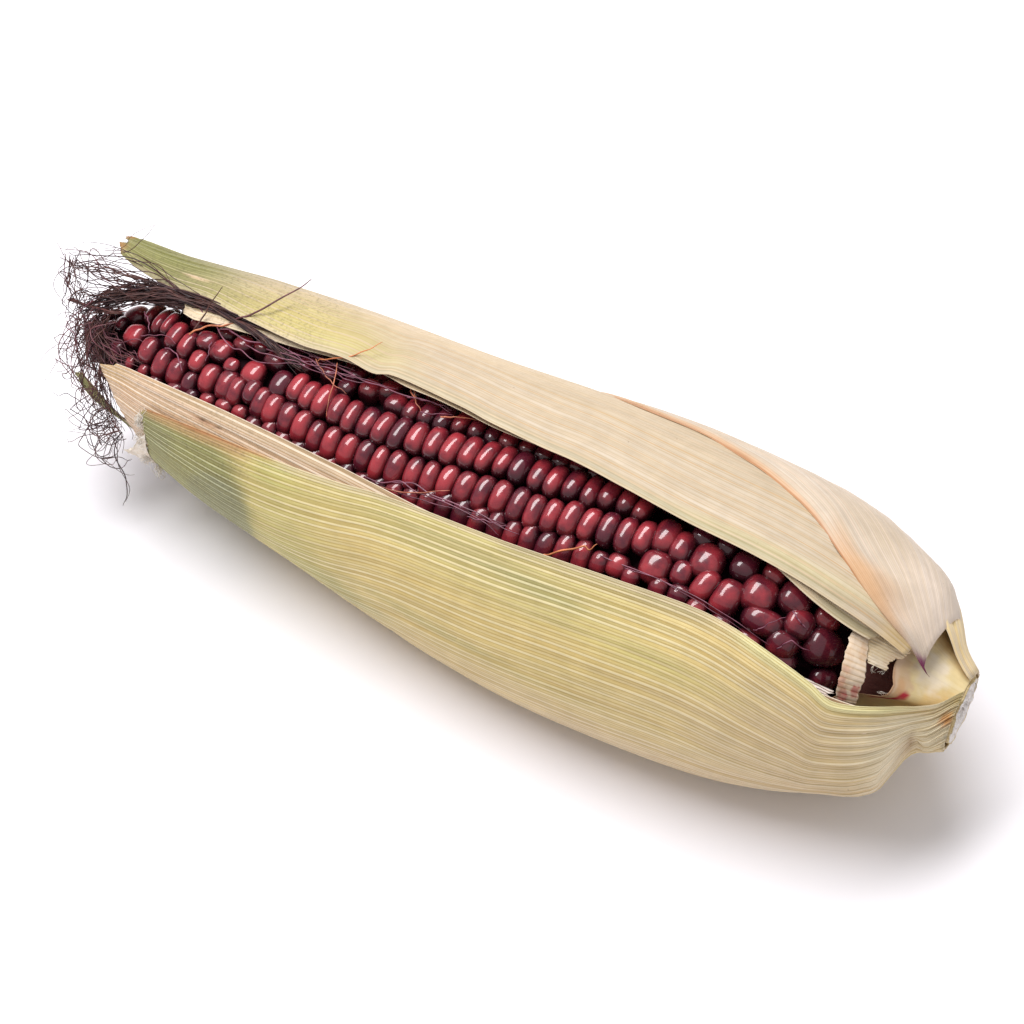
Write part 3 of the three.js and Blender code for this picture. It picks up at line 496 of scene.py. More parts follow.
# Strands laid over the kernels: shade, thickness, and places as x, angle and height over the
# kernels' crowns.
LAID_STRANDS = [
    (0.62, 1.0, [[-94.5, 118, 4], [-90.8, 108, 3.6], [-87.4, 101, 3], [-85.3, 97, 2.5]]),
    (0.62, 1.0, [[-91.4, 111, 4], [-88, 103, 3.6], [-85.3, 97, 2.5]]),
    (0.28, 1.7, [[-85.4, 81, 1], [-85.1, 86, 2], [-84.5, 94, 3.5], [-83.8, 98, 6],
        [-82.4, 105, 10]]),
    (0.45, 1.4, [[-82, 92, 1.8], [-78.6, 98, 2.5], [-76.5, 101, 4], [-73.9, 103, 5.5],
        [-71.2, 107, 7.5], [-68.6, 113, 10], [-66, 119, 12.5], [-64.5, 123, 15]]),
    (0.95, 1.5, [[-86, 80, 1.2], [-84.7, 84, 1.5], [-83.1, 89, 2], [-79.9, 93, 2.5],
        [-76.9, 99, 2.5], [-73.1, 101, 1.5]]),
    (0.62, 1.1, [[-83, 99, 1.5], [-80.9, 94, 1.6], [-77.7, 87, 1.4], [-73.8, 82, 1.2],
        [-71.4, 83, 1.2], [-68.4, 80, 1.2], [-65.4, 79, 1.4], [-61.8, 82, 1.6], [-58.7, 87, 1.6],
        [-54, 90, 1.2]]),
    (0.66, 1.1, [[-77.6, 95, 1.6], [-74.5, 92, 1.6], [-72, 91, 1.8], [-68.7, 94, 1.6],
        [-65.2, 97, 1.6], [-59.5, 96, 1.6], [-55, 95, 1.8], [-49.7, 90, 1.6], [-46.6, 94, 1.6],
        [-40, 97, 1.2]]),
    (0.6, 1.1, [[-71.1, 87, 1.6], [-67.6, 86, 1.8], [-64.8, 86, 1.8], [-61.7, 88, 1.6],
        [-58, 90, 1.4], [-55, 89, 1.4], [-49.2, 88, 1.8], [-44, 89, 1.2]]),
    (0.6, 1.1, [[-63.9, 95, 1.8], [-61.3, 93, 1.8], [-58.6, 94, 1.8], [-55.8, 92, 1.8],
        [-53.4, 94, 1.8], [-51.2, 96, 1.8], [-47.1, 97, 1.8], [-42, 99, 1.4]]),
    (0.6, 1.0, [[-80, 92, 1.6], [-76.9, 96, 1.6], [-74, 100, 1.6], [-71.8, 101, 1.6],
        [-69.8, 105, 1.6], [-64, 104, 1.4], [-58, 102, 1.6], [-52, 100, 1.6], [-44, 100, 1.6]]),
    (0.55, 0.9, [[-86, 96, 2], [-81, 97, 2], [-76, 98, 1.8], [-70, 98, 1.8], [-64, 100, 1.8],
        [-58, 99, 1.8], [-50, 98, 1.6]]),
    (0.66, 0.9, [[-66, 90, 2], [-60, 91, 2], [-54, 91, 2], [-49, 93, 2], [-44, 94, 1.6],
        [-38, 97, 1.6], [-32, 99, 1.4]]),
    (0.62, 0.9, [[-79.7, 82, 0.6], [-79.4, 77, 0.8], [-78.6, 72, 0.6], [-78.6, 66, 0.4]]),
    (0.62, 1.0, [[-101, 88, 1.5], [-98, 80, 1.2], [-96, 70, 0.6]]),
    (0.62, 1.0, [[-98, 66, 0.6], [-94.5, 70, 0.6], [-91, 73, 0.8], [-88, 70, 0.4]]),
    (0.62, 1.0, [[-90, 64, 0.6], [-86.5, 63, 0.8], [-84.3, 57, 0.6], [-83, 52, 0.2]]),
    (0.92, 1.2, [[-48, 97, 3], [-46.1, 86, 2.2], [-44.8, 73, 1.5], [-43.8, 63, 0.3]]),
    (0.9, 1.1, [[-53.7, 96, 2], [-49.8, 89, 1.8], [-46.5, 85, 1.2], [-42.3, 83, 0.4]]),
    (0.97, 1.3, [[-53, 96, 2], [-52.2, 97, 2.5], [-49.4, 98, 3.5], [-44.7, 102, 5.5],
        [-42, 104, 7.5], [-39.4, 108, 9.5]]),
    (0.64, 1.1, [[-56, 99, 1.6], [-52.7, 100, 1.6], [-48.9, 98, 1.6], [-44, 97, 1.6],
        [-39.3, 94, 1.8], [-35.8, 96, 1.6], [-32, 96, 1.6], [-28.1, 96, 1.6], [-24.8, 98, 1.6],
        [-21.9, 100, 1.4], [-17.8, 97, 1]]),
    (0.6, 1.0, [[-54.8, 94, 1.4], [-50.4, 90, 1.4], [-47.5, 93, 1.4], [-43.8, 91, 1.4],
        [-39.7, 95, 1.2]]),
    (0.92, 1.2, [[-31.5, 107, 1.5], [-30, 104, 1.5], [-27, 97, 1], [-24.4, 92, 0.2]]),
    (0.92, 1.0, [[-29, 106, 1.6], [-28, 101, 1.6], [-26.6, 97, 1.2]]),
    (0.75, 1.0, [[-29, 97, 1], [-26.6, 99, 1], [-23.7, 100, 1], [-20.3, 101, 1], [-17.8, 100, 1]]),
    (0.92, 1.0, [[-19, 92, 0.8], [-17.6, 94, 0.8], [-14.8, 98, 0.8], [-10.8, 103, 0.3]]),
    (0.72, 0.9, [[-24, 90, 0.8], [-21.7, 91, 0.8], [-19.2, 95, 0.8], [-17, 97, 0.8]]),
    (0.6, 1.2, [[-29, 37, 0.8], [-24.7, 39, 1.2], [-19.9, 44, 1.4], [-16, 43, 1.4],
        [-10.5, 43, 1.4], [-4.1, 44, 1.4], [2.4, 42, 1.2], [6.6, 39, 1]]),
    (0.6, 1.0, [[-22, 42, 1.2], [-17, 46, 1.4], [-12, 45, 1.4], [-6, 45, 1.4], [0, 46, 1.2],
        [5, 44, 1.2], [11, 44, 1]]),
    (0.9, 1.2, [[-24.4, 36, 1], [-19.8, 38, 1.3], [-14.5, 43, 1.7], [-8.1, 51, 1.5]]),
    (0.78, 1.1, [[-1.9, 41, 1.2], [3.8, 44, 1.2], [8.1, 45, 1]]),
    (0.97, 1.4, [[18, 38, 0.8], [18.9, 40, 1], [22.4, 46, 1.4], [25.9, 52, 1.4], [27.6, 52, 1.6],
        [29, 56, 2]]),
    (0.6, 0.9, [[-19.8, 37, 0.8], [-14.2, 39, 1], [-8.4, 41, 1], [-1.7, 44, 1], [7.3, 46, 0.8]]),
    (0.75, 0.9, [[68, 47, 1], [69, 49, 1], [71, 55, 2], [73.3, 61, 2]]),
    (0.78, 0.9, [[73.9, 66, 1.5], [76.2, 62, 1.6], [78.2, 60, 1]]),
    (0.75, 0.9, [[74, 42, 1], [75, 46, 1.5], [76.3, 50, 2], [78.3, 48, 1.6], [80.1, 48, 1]]),
    (0.6, 1.1, [[30, 51, -0.6], [38, 51.5, -0.4], [46, 52, 0], [54, 51, 0], [60, 49, 0],
        [66, 46, 0.2], [72, 42, 0.2]]),
    (0.6, 0.9, [[36, 50, -0.4], [44, 52, 0.2], [52, 50, 0.4], [60, 47, 0.4], [68, 43, 0.4]]),
]


# ---- mathematics of the shapes ------------------------------------------------------------
def along(stations, x):
    """A smooth curve through [x, value] stations, level past both ends."""
    places, values = np.asarray(stations, float).T
    last = len(places) - 1
    after = np.minimum(np.arange(last + 1) + 1, last)
    before = np.maximum(np.arange(last + 1) - 1, 0)
    slopes = (values[after] - values[before]) / (places[after] - places[before])
    x = np.clip(x, places[0], places[-1])
    i = np.clip(np.searchsorted(places, x, side="right") - 1, 0, last - 1)
    return hermite(places[i], places[i + 1], values[i], values[i + 1], slopes[i], slopes[i + 1], x)


def hermite(x0, x1, y0, y1, slope0, slope1, x):
    """The cubic from (x0, y0) to (x1, y1) with a slope at each end."""
    h = x1 - x0
    t = (x - x0) / h
    a = 2 * t**3 - 3 * t**2
    return (a + 1) * y0 + (t**3 - 2 * t**2 + t) * h * slope0 - a * y1 + (t**3 - t**2) * h * slope1


def husk_radius(x, angle):
    """Radius of the husk's outermost surface at x and an angle."""
    x, angle = np.broadcast_arrays(np.asarray(x, float), np.asarray(angle, float))
    rings = [along(list(zip(HUSK_X, radii)), x) for radii in HUSK_RADII]
    rings = np.array([rings[-1], *rings, rings[0], rings[1]])
    places = [HUSK_ANGLES[-1] - 360, *HUSK_ANGLES, HUSK_ANGLES[0] + 360, HUSK_ANGLES[1] + 360]
    places = np.array(places, float)
    turned = (angle + 90) % 360 - 90
    i = np.clip(np.searchsorted(places, turned, side="right") - 1, 1, len(places) - 3)

    def ring(k):
        return np.take_along_axis(rings, k[None], axis=0)[0]

    def slope(k):
        return (ring(k + 1) - ring(k - 1)) / (places[k + 1] - places[k - 1])

    return hermite(places[i], places[i + 1], ring(i), ring(i + 1), slope(i), slope(i + 1), turned)


def around(x, angle, radius):
    """Points at x, at an angle and a radius around the ear's axis."""
    x, angle, radius = np.broadcast_arrays(x, np.radians(angle), radius)
    return np.stack([x, -radius * np.cos(angle), AXIS_HEIGHT + radius * np.sin(angle)], axis=-1)


def ease(low, high, value):
    """0 below low, 1 above high, and smooth between them."""
    t = np.clip((value - low) / (high - low), 0, 1)
    return t * t * (3 - 2 * t)


class Unevenness:
    """Smooth noise over a plane, from -1 to 1, the same on every run."""

    SIZE = 128

    def __init__(self, seed):
        self.grid = np.random.default_rng(seed).uniform(-1, 1, (self.SIZE, self.SIZE))

    def __call__(self, u, v=0.0, octaves=1):
        u, v = np.broadcast_arrays(np.asarray(u, float), np.asarray(v, float))
        total, weights = 0.0, 0.0
        for octave in range(octaves):
            scale, weight = 2.0**octave, 0.5**octave
            total = total + weight * self.layer(u * scale + 7.3 * octave, v * scale + 3.1 * octave)
            weights += weight
        return total / weights

    def layer(self, u, v):
        i, j = np.floor(u).astype(int), np.floor(v).astype(int)
        fu, fv = ease(0, 1, u - i), ease(0, 1, v - j)
        n = self.SIZE
        near = self.grid[i % n, j % n] * (1 - fv) + self.grid[i % n, (j + 1) % n] * fv
        far = self.grid[(i + 1) % n, j % n] * (1 - fv) + self.grid[(i + 1) % n, (j + 1) % n] * fv
        return near * (1 - fu) + far * fu


def chart(colour):
    """A colour of the paint chart as the linear red, green and blue that Blender takes."""
    c = np.asarray(colour, float) / 255
    return np.where(c <= 0.04045, c / 12.92, ((c + 0.055) / 1.055) ** 2.4)


def opaque(colour):
    """A chart colour with full cover."""
    return (*chart(colour), 1.0)


def blended(base, colour, share):
    """Colours moved towards a chart colour by a share at each point."""
    return base + (chart(colour) - base) * share[..., None]


# ---- meshes -------------------------------------------------------------------------------
def sheet_faces(rows, columns):
    """Faces of a thin closed sheet: a grid of points for its outside, then one for its inside."""
    out = np.arange(rows * columns).reshape(rows, columns)
    back = out + rows * columns

    def quads(a, b, c, d):
        return np.stack([a.ravel(), b.ravel(), c.ravel(), d.ravel()], axis=1)

    return np.concatenate([
        quads(out[:-1, :-1], out[1:, :-1], out[1:, 1:], out[:-1, 1:]),
        quads(back[:-1, :-1], back[:-1, 1:], back[1:, 1:], back[1:, :-1]),
        quads(out[:-1, 0], back[:-1, 0], back[1:, 0], out[1:, 0]),
        quads(out[:-1, -1], out[1:, -1], back[1:, -1], back[:-1, -1]),
        quads(out[0, :-1], out[0, 1:], back[0, 1:], back[0, :-1]),
        quads(out[-1, :-1], back[-1, :-1], back[-1, 1:], out[-1, 1:]),
    ])


# Kinds of attribute by the count of numbers a point.
ATTRIBUTE_KINDS = {
    1: ("FLOAT", "value"),
    3: ("FLOAT_VECTOR", "vector"),
    4: ("FLOAT_COLOR", "color"),
}


def add_piece(name, points, faces, material, slot, nodes=(), **attributes):
    """A smooth mesh object from points in millimetres, riding on the ear. Attributes are arrays
    with one, three or four numbers a point: values, vectors and colours."""
    mesh = bpy.data.meshes.new(name)
    points = np.ascontiguousarray(np.asarray(points, float).reshape(-1, 3) * MM, np.float32)
    corners = np.concatenate([np.asarray(group).ravel() for group in faces]).astype(np.int32)
    sizes = np.concatenate([np.full(len(group), np.shape(group)[1]) for group in faces])
    mesh.vertices.add(len(points))
    mesh.vertices.foreach_set("co", points.ravel())
    mesh.loops.add(len(corners))
    mesh.loops.foreach_set("vertex_index", corners)
    mesh.polygons.add(len(sizes))
    mesh.polygons.foreach_set("loop_start", (np.cumsum(sizes) - sizes).astype(np.int32))
    for key, numbers in attributes.items():
        numbers = np.asarray(numbers, np.float32)
        width = 1 if numbers.ndim == 1 else numbers.shape[-1]
        kind, field = ATTRIBUTE_KINDS[width]
        made = mesh.attributes.new(key, kind, "POINT")
        made.data.foreach_set(field, numbers.ravel())
    mesh.update(calc_edges=True)
    if mesh.validate():
        raise RuntimeError(f"{name} has bad faces")
    mesh.shade_smooth()
    mesh.materials.append(material)
    piece = bpy.data.objects.new(name, mesh)
    bpy.context.scene.collection.objects.link(piece)
    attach(piece, "root")
    if nodes:
        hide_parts(*nodes)
    return piece


# ---- husk leaves --------------------------------------------------------------------------
MARGIN = 0.16  # of a vein's width, between a leaf's edge and the first line of points
POINTS_A_VEIN = 2  # lines of points in the mesh for each vein
EVEN_SHARE = 0.7  # of the rows' spacing; the rest crowds the rows at both ends
TEAR_POWER = 24  # how fast a ragged tip evens out along the leaf
PLEATS = ((0.11, 0.004), (0.19, -0.006), (0.31, 0.009))  # waves a vein, and their drift along x
SWAY, WAVY_EDGE = 0.22, 0.25  # slow unevenness of the leaf and of its edges, in millimetres
CURL_RADIUS, CURL_REACH = 25, 2.5  # radius that turns veins into millimetres, and a curl's reach
EDGE_RADIUS, EDGE_FADE = 28, 4  # the same for coloured edges, and how softly they begin and end
MOTTLE_TONE, STREAK_TONE, LINE_TONE = 0.07, 0.06, 0.03  # how far the colour varies
RESTING_GAP = 0.4  # least space that an inner side keeps over the floor, past its layer


def leaf_places(leaf):
    """Where the points of a leaf's grid lie: x, angle, vein number and share of the length."""
    veins = leaf["veins"]
    step = 1 / POINTS_A_VEIN
    inner = np.arange(step, veins - step / 2, step)
    number = np.concatenate([[0, MARGIN * step * 2], inner, [veins - MARGIN * step * 2, veins]])
    across = number / veins
    even = np.linspace(0, 1, leaf["rows"])
    length = EVEN_SHARE * even + (1 - EVEN_SHARE) * (1 - np.cos(np.pi * even)) / 2
    rough = Unevenness(leaf["seed"])
    torn = leaf["tear"] * (rough(number * 0.9, 5.5, 2) + 0.4 * rough(number * 2.7, 9.5))
    first, last = along(leaf["tip"], across), along(leaf["base"], across)
    share = length[:, None]
    x = first + (last - first) * share + torn * (1 - share) ** TEAR_POWER
    power = along(leaf["gather"], x) if "gather" in leaf else 1.0
    low, high = along(leaf["low"], x), along(leaf["high"], x)
    angle = low + (high - low) * np.broadcast_to(across, x.shape) ** power
    wander = 0.5 * rough(x * 0.03, number * 0.12, 2)
    angle += wander * ease(0, 3, number) * ease(0, 3, veins - number)
    return x, angle, np.broadcast_to(number, x.shape), rough


def leaf_heights(leaf, x, angle, number, rough):
    """How far the outside of a leaf stands over its smooth layer, in millimetres."""
    veins = leaf["veins"]
    from_edge = np.minimum(number, veins - number)
    uneven = 1 + 0.7 * rough(number * 0.37, 1.5) + 0.5 * rough(number * 0.8 + 3, x * 0.02)
    rib = np.where(from_edge < 0.4, -1, np.cos(2 * np.pi * number)) * leaf["rib"] * uneven
    fold = 0.0
    for cycles, drift in PLEATS:
        start = rough.grid[int(cycles * 100), leaf["seed"]] * np.pi
        fold = fold + np.sin(2 * np.pi * (cycles * number + drift * x) + start) / 1.6
    pleat = along(leaf["pleat"], x) * fold
    sway = SWAY * rough(x * 0.03 + 11, number * 0.06 + 3, 2)
    width = np.radians(np.abs(angle[:, -1:] - angle[:, :1])) * CURL_RADIUS / veins
    low_edge = np.exp(-number * width / CURL_REACH)
    high_edge = np.exp(-(veins - number) * width / CURL_REACH)
    curl = leaf["curl"][0] * low_edge + leaf["curl"][1] * high_edge
    wavy = WAVY_EDGE * rough(x * 0.09, 2.5, 2) * (low_edge + high_edge)
    dent = sum(
        depth * np.exp(-(((x - at_x) / half_x) ** 2) - ((angle - at_angle) / half_angle) ** 2)
        for at_x, at_angle, half_x, half_angle, depth in leaf["dents"]
    )
    return rib + pleat + sway + curl + wavy - dent


def leaf_colours(leaf, x, angle, number, rough):
    """The colour between the veins and on them, over a leaf's outside."""
    shape = (*x.shape, 3)
    base = np.broadcast_to(chart(leaf["colour"]), shape)
    line = np.broadcast_to(chart(leaf["line"]), shape)
    mottle = rough(x * 0.05 + 31, number * 0.12 + 17, 3)
    streak = rough(x * 0.018 + 5, number * 0.9 + 2, 2)
    for colour, line_colour, at_x, at_angle, half_x, half_angle, soft, strength in leaf["patches"]:
        away = np.hypot((x - at_x) / half_x, (angle - at_angle) / half_angle)
        wander = soft * (0.2 * mottle + 0.15 * streak)
        share = strength * (1 - ease(1 - soft, 1 + soft * 0.3, away + wander))
        base, line = blended(base, colour, share), blended(line, line_colour, share)
    pitch = np.radians(np.abs(angle[:, -1:] - angle[:, :1])) * EDGE_RADIUS / leaf["veins"]
    for side, colour, line_colour, width, first, last, strength in leaf["edges"]:
        inwards = (number if side == "low" else leaf["veins"] - number) * pitch
        begun = ease(first - EDGE_FADE, first + EDGE_FADE, x)
        ends = begun * (1 - ease(last - EDGE_FADE, last + EDGE_FADE, x))
        share = strength * ends * (1 - ease(0.5 * width, 1.3 * width, inwards + 0.7 * mottle))
        base, line = blended(base, colour, share), blended(line, line_colour, share)
    tone = (1 + MOTTLE_TONE * mottle + STREAK_TONE * streak)[..., None]
    return np.clip(base * tone, 0, 1), np.clip(line * (1 + LINE_TONE * streak[..., None]), 0, 1)


def with_alpha(colours):
    return np.concatenate([colours, np.ones((*colours.shape[:-1], 1))], axis=-1).reshape(-1, 4)


def build_leaf(name, leaf, husk, material):
    """One husk leaf as a thin closed sheet with ribbed veins."""
    x, angle, number, rough = leaf_places(leaf)
    depth = along(leaf["layer"], angle) * husk.layer_pitch / MM
    rise = leaf_heights(leaf, x, angle, number, rough)
    radius = husk_radius(x, angle) - depth + rise
    from_edge = np.minimum(number, leaf["veins"] - number)
    end = ease(0, 5, np.abs(x - x[:1])) * 0.5 + 0.5
    thickness = husk.thickness / MM * (0.3 + 0.7 * ease(0, 3, from_edge)) * end
    outside = around(x, angle, radius)
    outside[..., 2] = np.maximum(outside[..., 2], depth + 0.05 * (1 + np.cos(2 * np.pi * number)))
    inside = around(x, angle, radius - thickness)
    resting = (np.sin(np.radians(angle)) < -0.5) & (outside[..., 2] - inside[..., 2] > -0.1)
    least = outside[..., 2] + np.where(resting, thickness, 0)
    below = np.minimum(outside[..., 2], depth + RESTING_GAP)
    inside[..., 2] = np.maximum(inside[..., 2], np.where(resting, least, below))
    tint, line = leaf_colours(leaf, x, angle, number, rough)
    inner, inner_line = leaf["inner"]
    turned = np.full(x.shape, husk.inner_share)
    width = along(leaf["width"], x)
    fibre = np.stack([number, x, width], axis=-1).reshape(-1, 3)
    return add_piece(
        name,
        np.concatenate([outside.reshape(-1, 3), inside.reshape(-1, 3)]),
        [sheet_faces(*x.shape)],
        material,
        leaf["slot"],
        [name],
        fibre=np.concatenate([fibre, fibre]),
        tint=np.concatenate([with_alpha(tint), with_alpha(blended(tint, inner, turned))]),
        vein=np.concatenate([with_alpha(line), with_alpha(blended(line, inner_line, turned))]),
    )


# ---- torn pieces --------------------------------------------------------------------------
# Each is a strip across v from its first angle to its last and along u from its start x.
# "patches" are colour, v, u, half v, half u and strength.
STRIP_GRID = 60  # points along and across a torn piece
CUT_MARGIN = 0.6  # from the stub's end to the stem's cut
NO_NODE = ("husk_torn_flake",)  # torn pieces that stand for no node
TORN_PIECES = {
    "husk_torn_strip": {
        "slot": "husk_torn", "x": [[0, 89.0], [0.45, 88.2], [0.9, 87.0], [1, 86.9]],
        "x_width": [[0, 4.4], [0.45, 5.0], [1, 3.8]],
        "angles": [26, 72], "radius": [[0, 19.4], [0.5, 20.6], [1, 19.4]],
        "end": [[0, 18.3], [1, 18.5]], "power": 1.8,
        "wave": 0.02, "ribs": 13, "colour": (222, 198, 172), "line": (226, 206, 184), "tear": 0.45,
        "patches": [
            (RED_STAIN, 0.08, 0.3, 0.14, 0.28, 0.85), (RED_STAIN, 0.28, 0.1, 0.1, 0.24, 0.7),
            (RED_STAIN, 0.2, 0.8, 0.12, 0.22, 0.75),
            (RED_STAIN, 0.46, 0.22, 0.06, 0.22, 0.5), (BLUSH, 0.4, 0.2, 0.4, 0.3, 0.6),
            (ORANGE, 0.75, 0.8, 0.2, 0.2, 0.4),
        ],
    },
    "husk_torn_scrap": {
        "slot": "husk_torn", "x": [[0, 92.4], [0.7, 89.6], [1, 89.6]],
        "x_width": [[0, 4.0], [0.45, 6.6], [0.6, 9.0], [1, 10.2]],
        "angles": [56, 80], "radius": [[0, 17.6], [1, 18.8]], "end": [[0, 15.8], [1, 16.6]],
        "power": 1.3, "wave": 0.03,
        "ribs": 11, "colour": (226, 204, 166), "line": (230, 210, 178), "tear": 0.7,
        "patches": [(WHITE_FIBRE, 0.1, 0.5, 0.25, 0.6, 0.45), (TAN, 0.5, 0.9, 0.5, 0.2, 0.4)],
    },
    "husk_base_stub": {
        "slot": "husk_cream", "kind": "husk_hollow",
        "x": [[0, 86], [0.12, 88], [0.185, 92], [0.225, 97.4], [0.29, 98.8], [0.36, 97.8],
            [0.5, 98.0], [0.8, 98.0], [1, 96.5]],
        "x_width": None, "angles": [2, 154],
        "radius": [[0, 16.8], [0.15, 15.8], [0.3, 14.8], [0.6, 15.0], [0.8, 17.4], [1, 21.4]],
        "end": [[0, 7.9], [0.5, 7.6], [1, 7.5]], "power": 0.8, "wave": 0.0, "ribs": 18,
        "colour": (222, 200, 150),
        "line": (226, 206, 160), "tear": 0.9, "patches": [
            (BLUSH, 0.3, 0.05, 0.5, 0.28, 0.75), (DEEP_YELLOW, 0.18, 0.75, 0.25, 0.5, 0.8),
            # Painted light on the stub's far end, in the shade of the pink back leaf.
            (PAINTED_LIGHT_YELLOW, 0.88, 0.4, 0.26, 0.6, 0.95),
            (WHITE_FIBRE, 0.5, 0.5, 0.22, 0.3, 0.55), (RED_STAIN, 0.26, 0.2, 0.045, 0.1, 0.98),
            (RED_STAIN, 0.215, 0.17, 0.045, 0.07, 0.96),
            (ORANGE, 0.3, 0.12, 0.06, 0.08, 0.6), (TAN, 0.42, 0.02, 0.3, 0.08, 0.6),
            (RUST, 0.2, 0.0, 0.3, 0.04, 0.5),
        ],
    },
    "husk_torn_flake": {
        "slot": "husk_torn", "x": [[0, 80.0], [0.5, 80.8], [1, 81.6]],
        "x_width": [[0, 7.5], [1, 6.5]], "angles": [24, 31],
        "radius": [[0, 21.6], [1, 19.8]], "end": [[0, 22.0], [1, 20.2]], "power": 1.0, "wave": 0.12,
        "ribs": 5,
        "colour": (188, 168, 158), "line": WHITE_FIBRE, "tear": 1.6,
        "patches": [(PURPLE, 0.3, 0.4, 0.3, 0.2, 0.35)],
    },
}


def build_torn(name, strip, husk, material):
    """A torn strip or stub of husk: wrinkled along its length, with a ragged end."""
    v = np.linspace(0, 1, STRIP_GRID)[None]
    u = np.linspace(0, 1, STRIP_GRID)[:, None]
    rough = Unevenness(len(name))
    start = along(strip["x"], v) + strip["tear"] * rough(v * 14, 0.5, 3) * (1 - u) ** 3
    if strip["x_width"] is None:
        x = start + (CUT_X - CUT_MARGIN - start) * u
    else:
        x = start + along(strip["x_width"], v) * u + strip["tear"] * rough(v * 11, 6.5, 3) * u**3
    angle = strip["angles"][0] + (strip["angles"][1] - strip["angles"][0]) * v + 0 * u
    wave = strip["wave"] * np.cos(2 * np.pi * (strip["ribs"] * v + 0.5 * rough(v * 5, u * 2, 2)))
    swell = 0.25 * rough(v * 4, u * 2, 2) + 0.12 * rough(v * 12, u * 5, 2)
    first, last = along(strip["radius"], v), along(strip["end"], v)
    radius = first + (last - first) * u ** strip["power"] + wave + swell * (1 - 0.6 * u)
    outside = around(x, angle, radius)
    inside = around(x, angle, radius - husk.thickness / MM * (0.5 + 0.5 * u))
    tone = 1 + 0.08 * rough(v * 9, u * 9, 3)
    tint = np.broadcast_to(chart(strip["colour"]), (*x.shape, 3)) * tone[..., None]
    line = np.broadcast_to(chart(strip["line"]), (*x.shape, 3))
    for colour, at_v, at_u, half_v, half_u, strength in strip["patches"]:
        away = np.hypot((v - at_v) / half_v, (u - at_u) / half_u)
        away = away + 0.45 * rough(v * 22 + at_v * 9, u * 9 + at_u * 7, 3)
        share = strength * (1 - ease(0.45, 1.1, away))
        tint, line = blended(tint, colour, share), blended(line, colour, 0.6 * share)
    fibre = np.stack([v * strip["ribs"] + 0 * u, x, 0.4 + 0 * x], axis=-1).reshape(-1, 3)
    return add_piece(
        name,
        np.concatenate([outside.reshape(-1, 3), inside.reshape(-1, 3)]),
        [sheet_faces(STRIP_GRID, STRIP_GRID)],
        material,
        strip["slot"],
        [] if name in NO_NODE else [name],
        fibre=np.concatenate([fibre, fibre]),
        tint=np.concatenate([with_alpha(tint)] * 2),
        vein=np.concatenate([with_alpha(line)] * 2),
    )


# ---- kernels ------------------------------------------------------------------------------
FINE_KERNEL, PLAIN_KERNEL = (13, 24), (7, 12)  # rings and sides of a kernel's mesh
SPAN_POWER, LENGTH_POWER, WIDTH_POWER, HEIGHT_POWER = 0.82, 0.76, 0.74, 0.9  # under 1 is squarer
FULL_CROWN = 20.5  # radius of the ear where kernels have their full width
CROWN_SCATTER, LOOSE_SINK = 0.22, 0.15  # unevenness of the crowns, and how low loose ones sit
RISE_SHARE = 0.47  # of a kernel's half sizes, from its middle to its crown
ROOT_DEPTH, ROOT_SHARE = 4.5, 0.3  # how far a kernel reaches down, at most
ROOT_TAPER = (0.12, 0.10)  # narrowing of a kernel's root, along the ear and across
STEEPEST = 0.7  # slope of the ear that kernels follow, at most
SHADE_REACH_X, SHADE_REACH_ANGLE = 2.4, 9  # how near to a dark kernel's place counts as that kernel
# Tone of the kernels: its middle, its spread, and the share kept by the tip kernels and by the
# kernels darkened as painted shade.
TONE_MIDDLE, TONE_SPREAD, TIP_AND_SHADE_TONE = 0.56, 0.16, 0.3
ANGLE_SPREAD, TILT_SPREAD = 0.8, 2.5  # unevenness of a row's kernels, in degrees


def kernel_template(rings, sides):
    """A closed rounded form, its points as along, across and up in shares of its half sizes."""
    lift = np.linspace(-90, 90, rings + 2)[1:-1, None]
    turn = np.arange(sides)[None] * 360 / sides

    def power(values, exponent):
        return np.sign(values) * np.abs(values) ** exponent

    c, s = np.cos(np.radians(lift)), np.sin(np.radians(lift))
    span = power(c, SPAN_POWER)
    a = span * power(np.cos(np.radians(turn)), LENGTH_POWER)
    b = span * power(np.sin(np.radians(turn)), WIDTH_POWER)
    h = power(s, HEIGHT_POWER) + 0 * turn
    points = np.stack([a, b, h], axis=-1).reshape(-1, 3)
    points = np.concatenate([points, [[0, 0, -1], [0, 0, 1]]])
    k = np.arange(rings * sides).reshape(rings, sides)
    right = np.roll(k, -1, axis=1)
    quads = np.stack([k[:-1], right[:-1], right[1:], k[1:]], axis=-1).reshape(-1, 4)
    foot, crown = rings * sides, rings * sides + 1
    bottom = np.stack([right[0], k[0], np.full(sides, foot)], axis=-1)
    top = np.stack([k[-1], right[-1], np.full(sides, crown)], axis=-1)
    return points, quads, np.concatenate([bottom, top])


def row_angle(row, x):
    """Angle of a row of kernels at x."""
    return ROW_ANGLES[row] + along(ROW_TWIST, x)


def apart(angle, other):
    """Degrees between two angles, the short way round."""
    return abs((angle - other + 180) % 360 - 180)


def regular_kernels(row, kernels, rng):
    """The kernels of one row: x, angle, half length, half width, tilt and 0, as none is loose."""
    pitch = kernels.pitch / MM
    first, last = OPEN_SPANS.get(row, [-111 + (row % 2) * pitch / 2, 82])
    count = round((last - first) / pitch) + 1
    sizes = rng.uniform(0.93, 1.08, count)
    places = np.cumsum(sizes) - sizes / 2
    step = (last - first) / (places[-1] - places[0])
    found = []
    for x, size in zip(first + (places - places[0]) * step, sizes):
        share = np.clip(along(EAR_PROFILE, x) / FULL_CROWN, 0.3, 1)
        half_width = kernels.width / MM / 2 * share * rng.uniform(0.95, 1.05)
        angle = row_angle(row, x) + rng.normal(0, ANGLE_SPREAD)
        half_length = step / 2 * size * kernels.plumpness
        found.append([x, angle, half_length, half_width, rng.normal(0, TILT_SPREAD), 0])
    return found


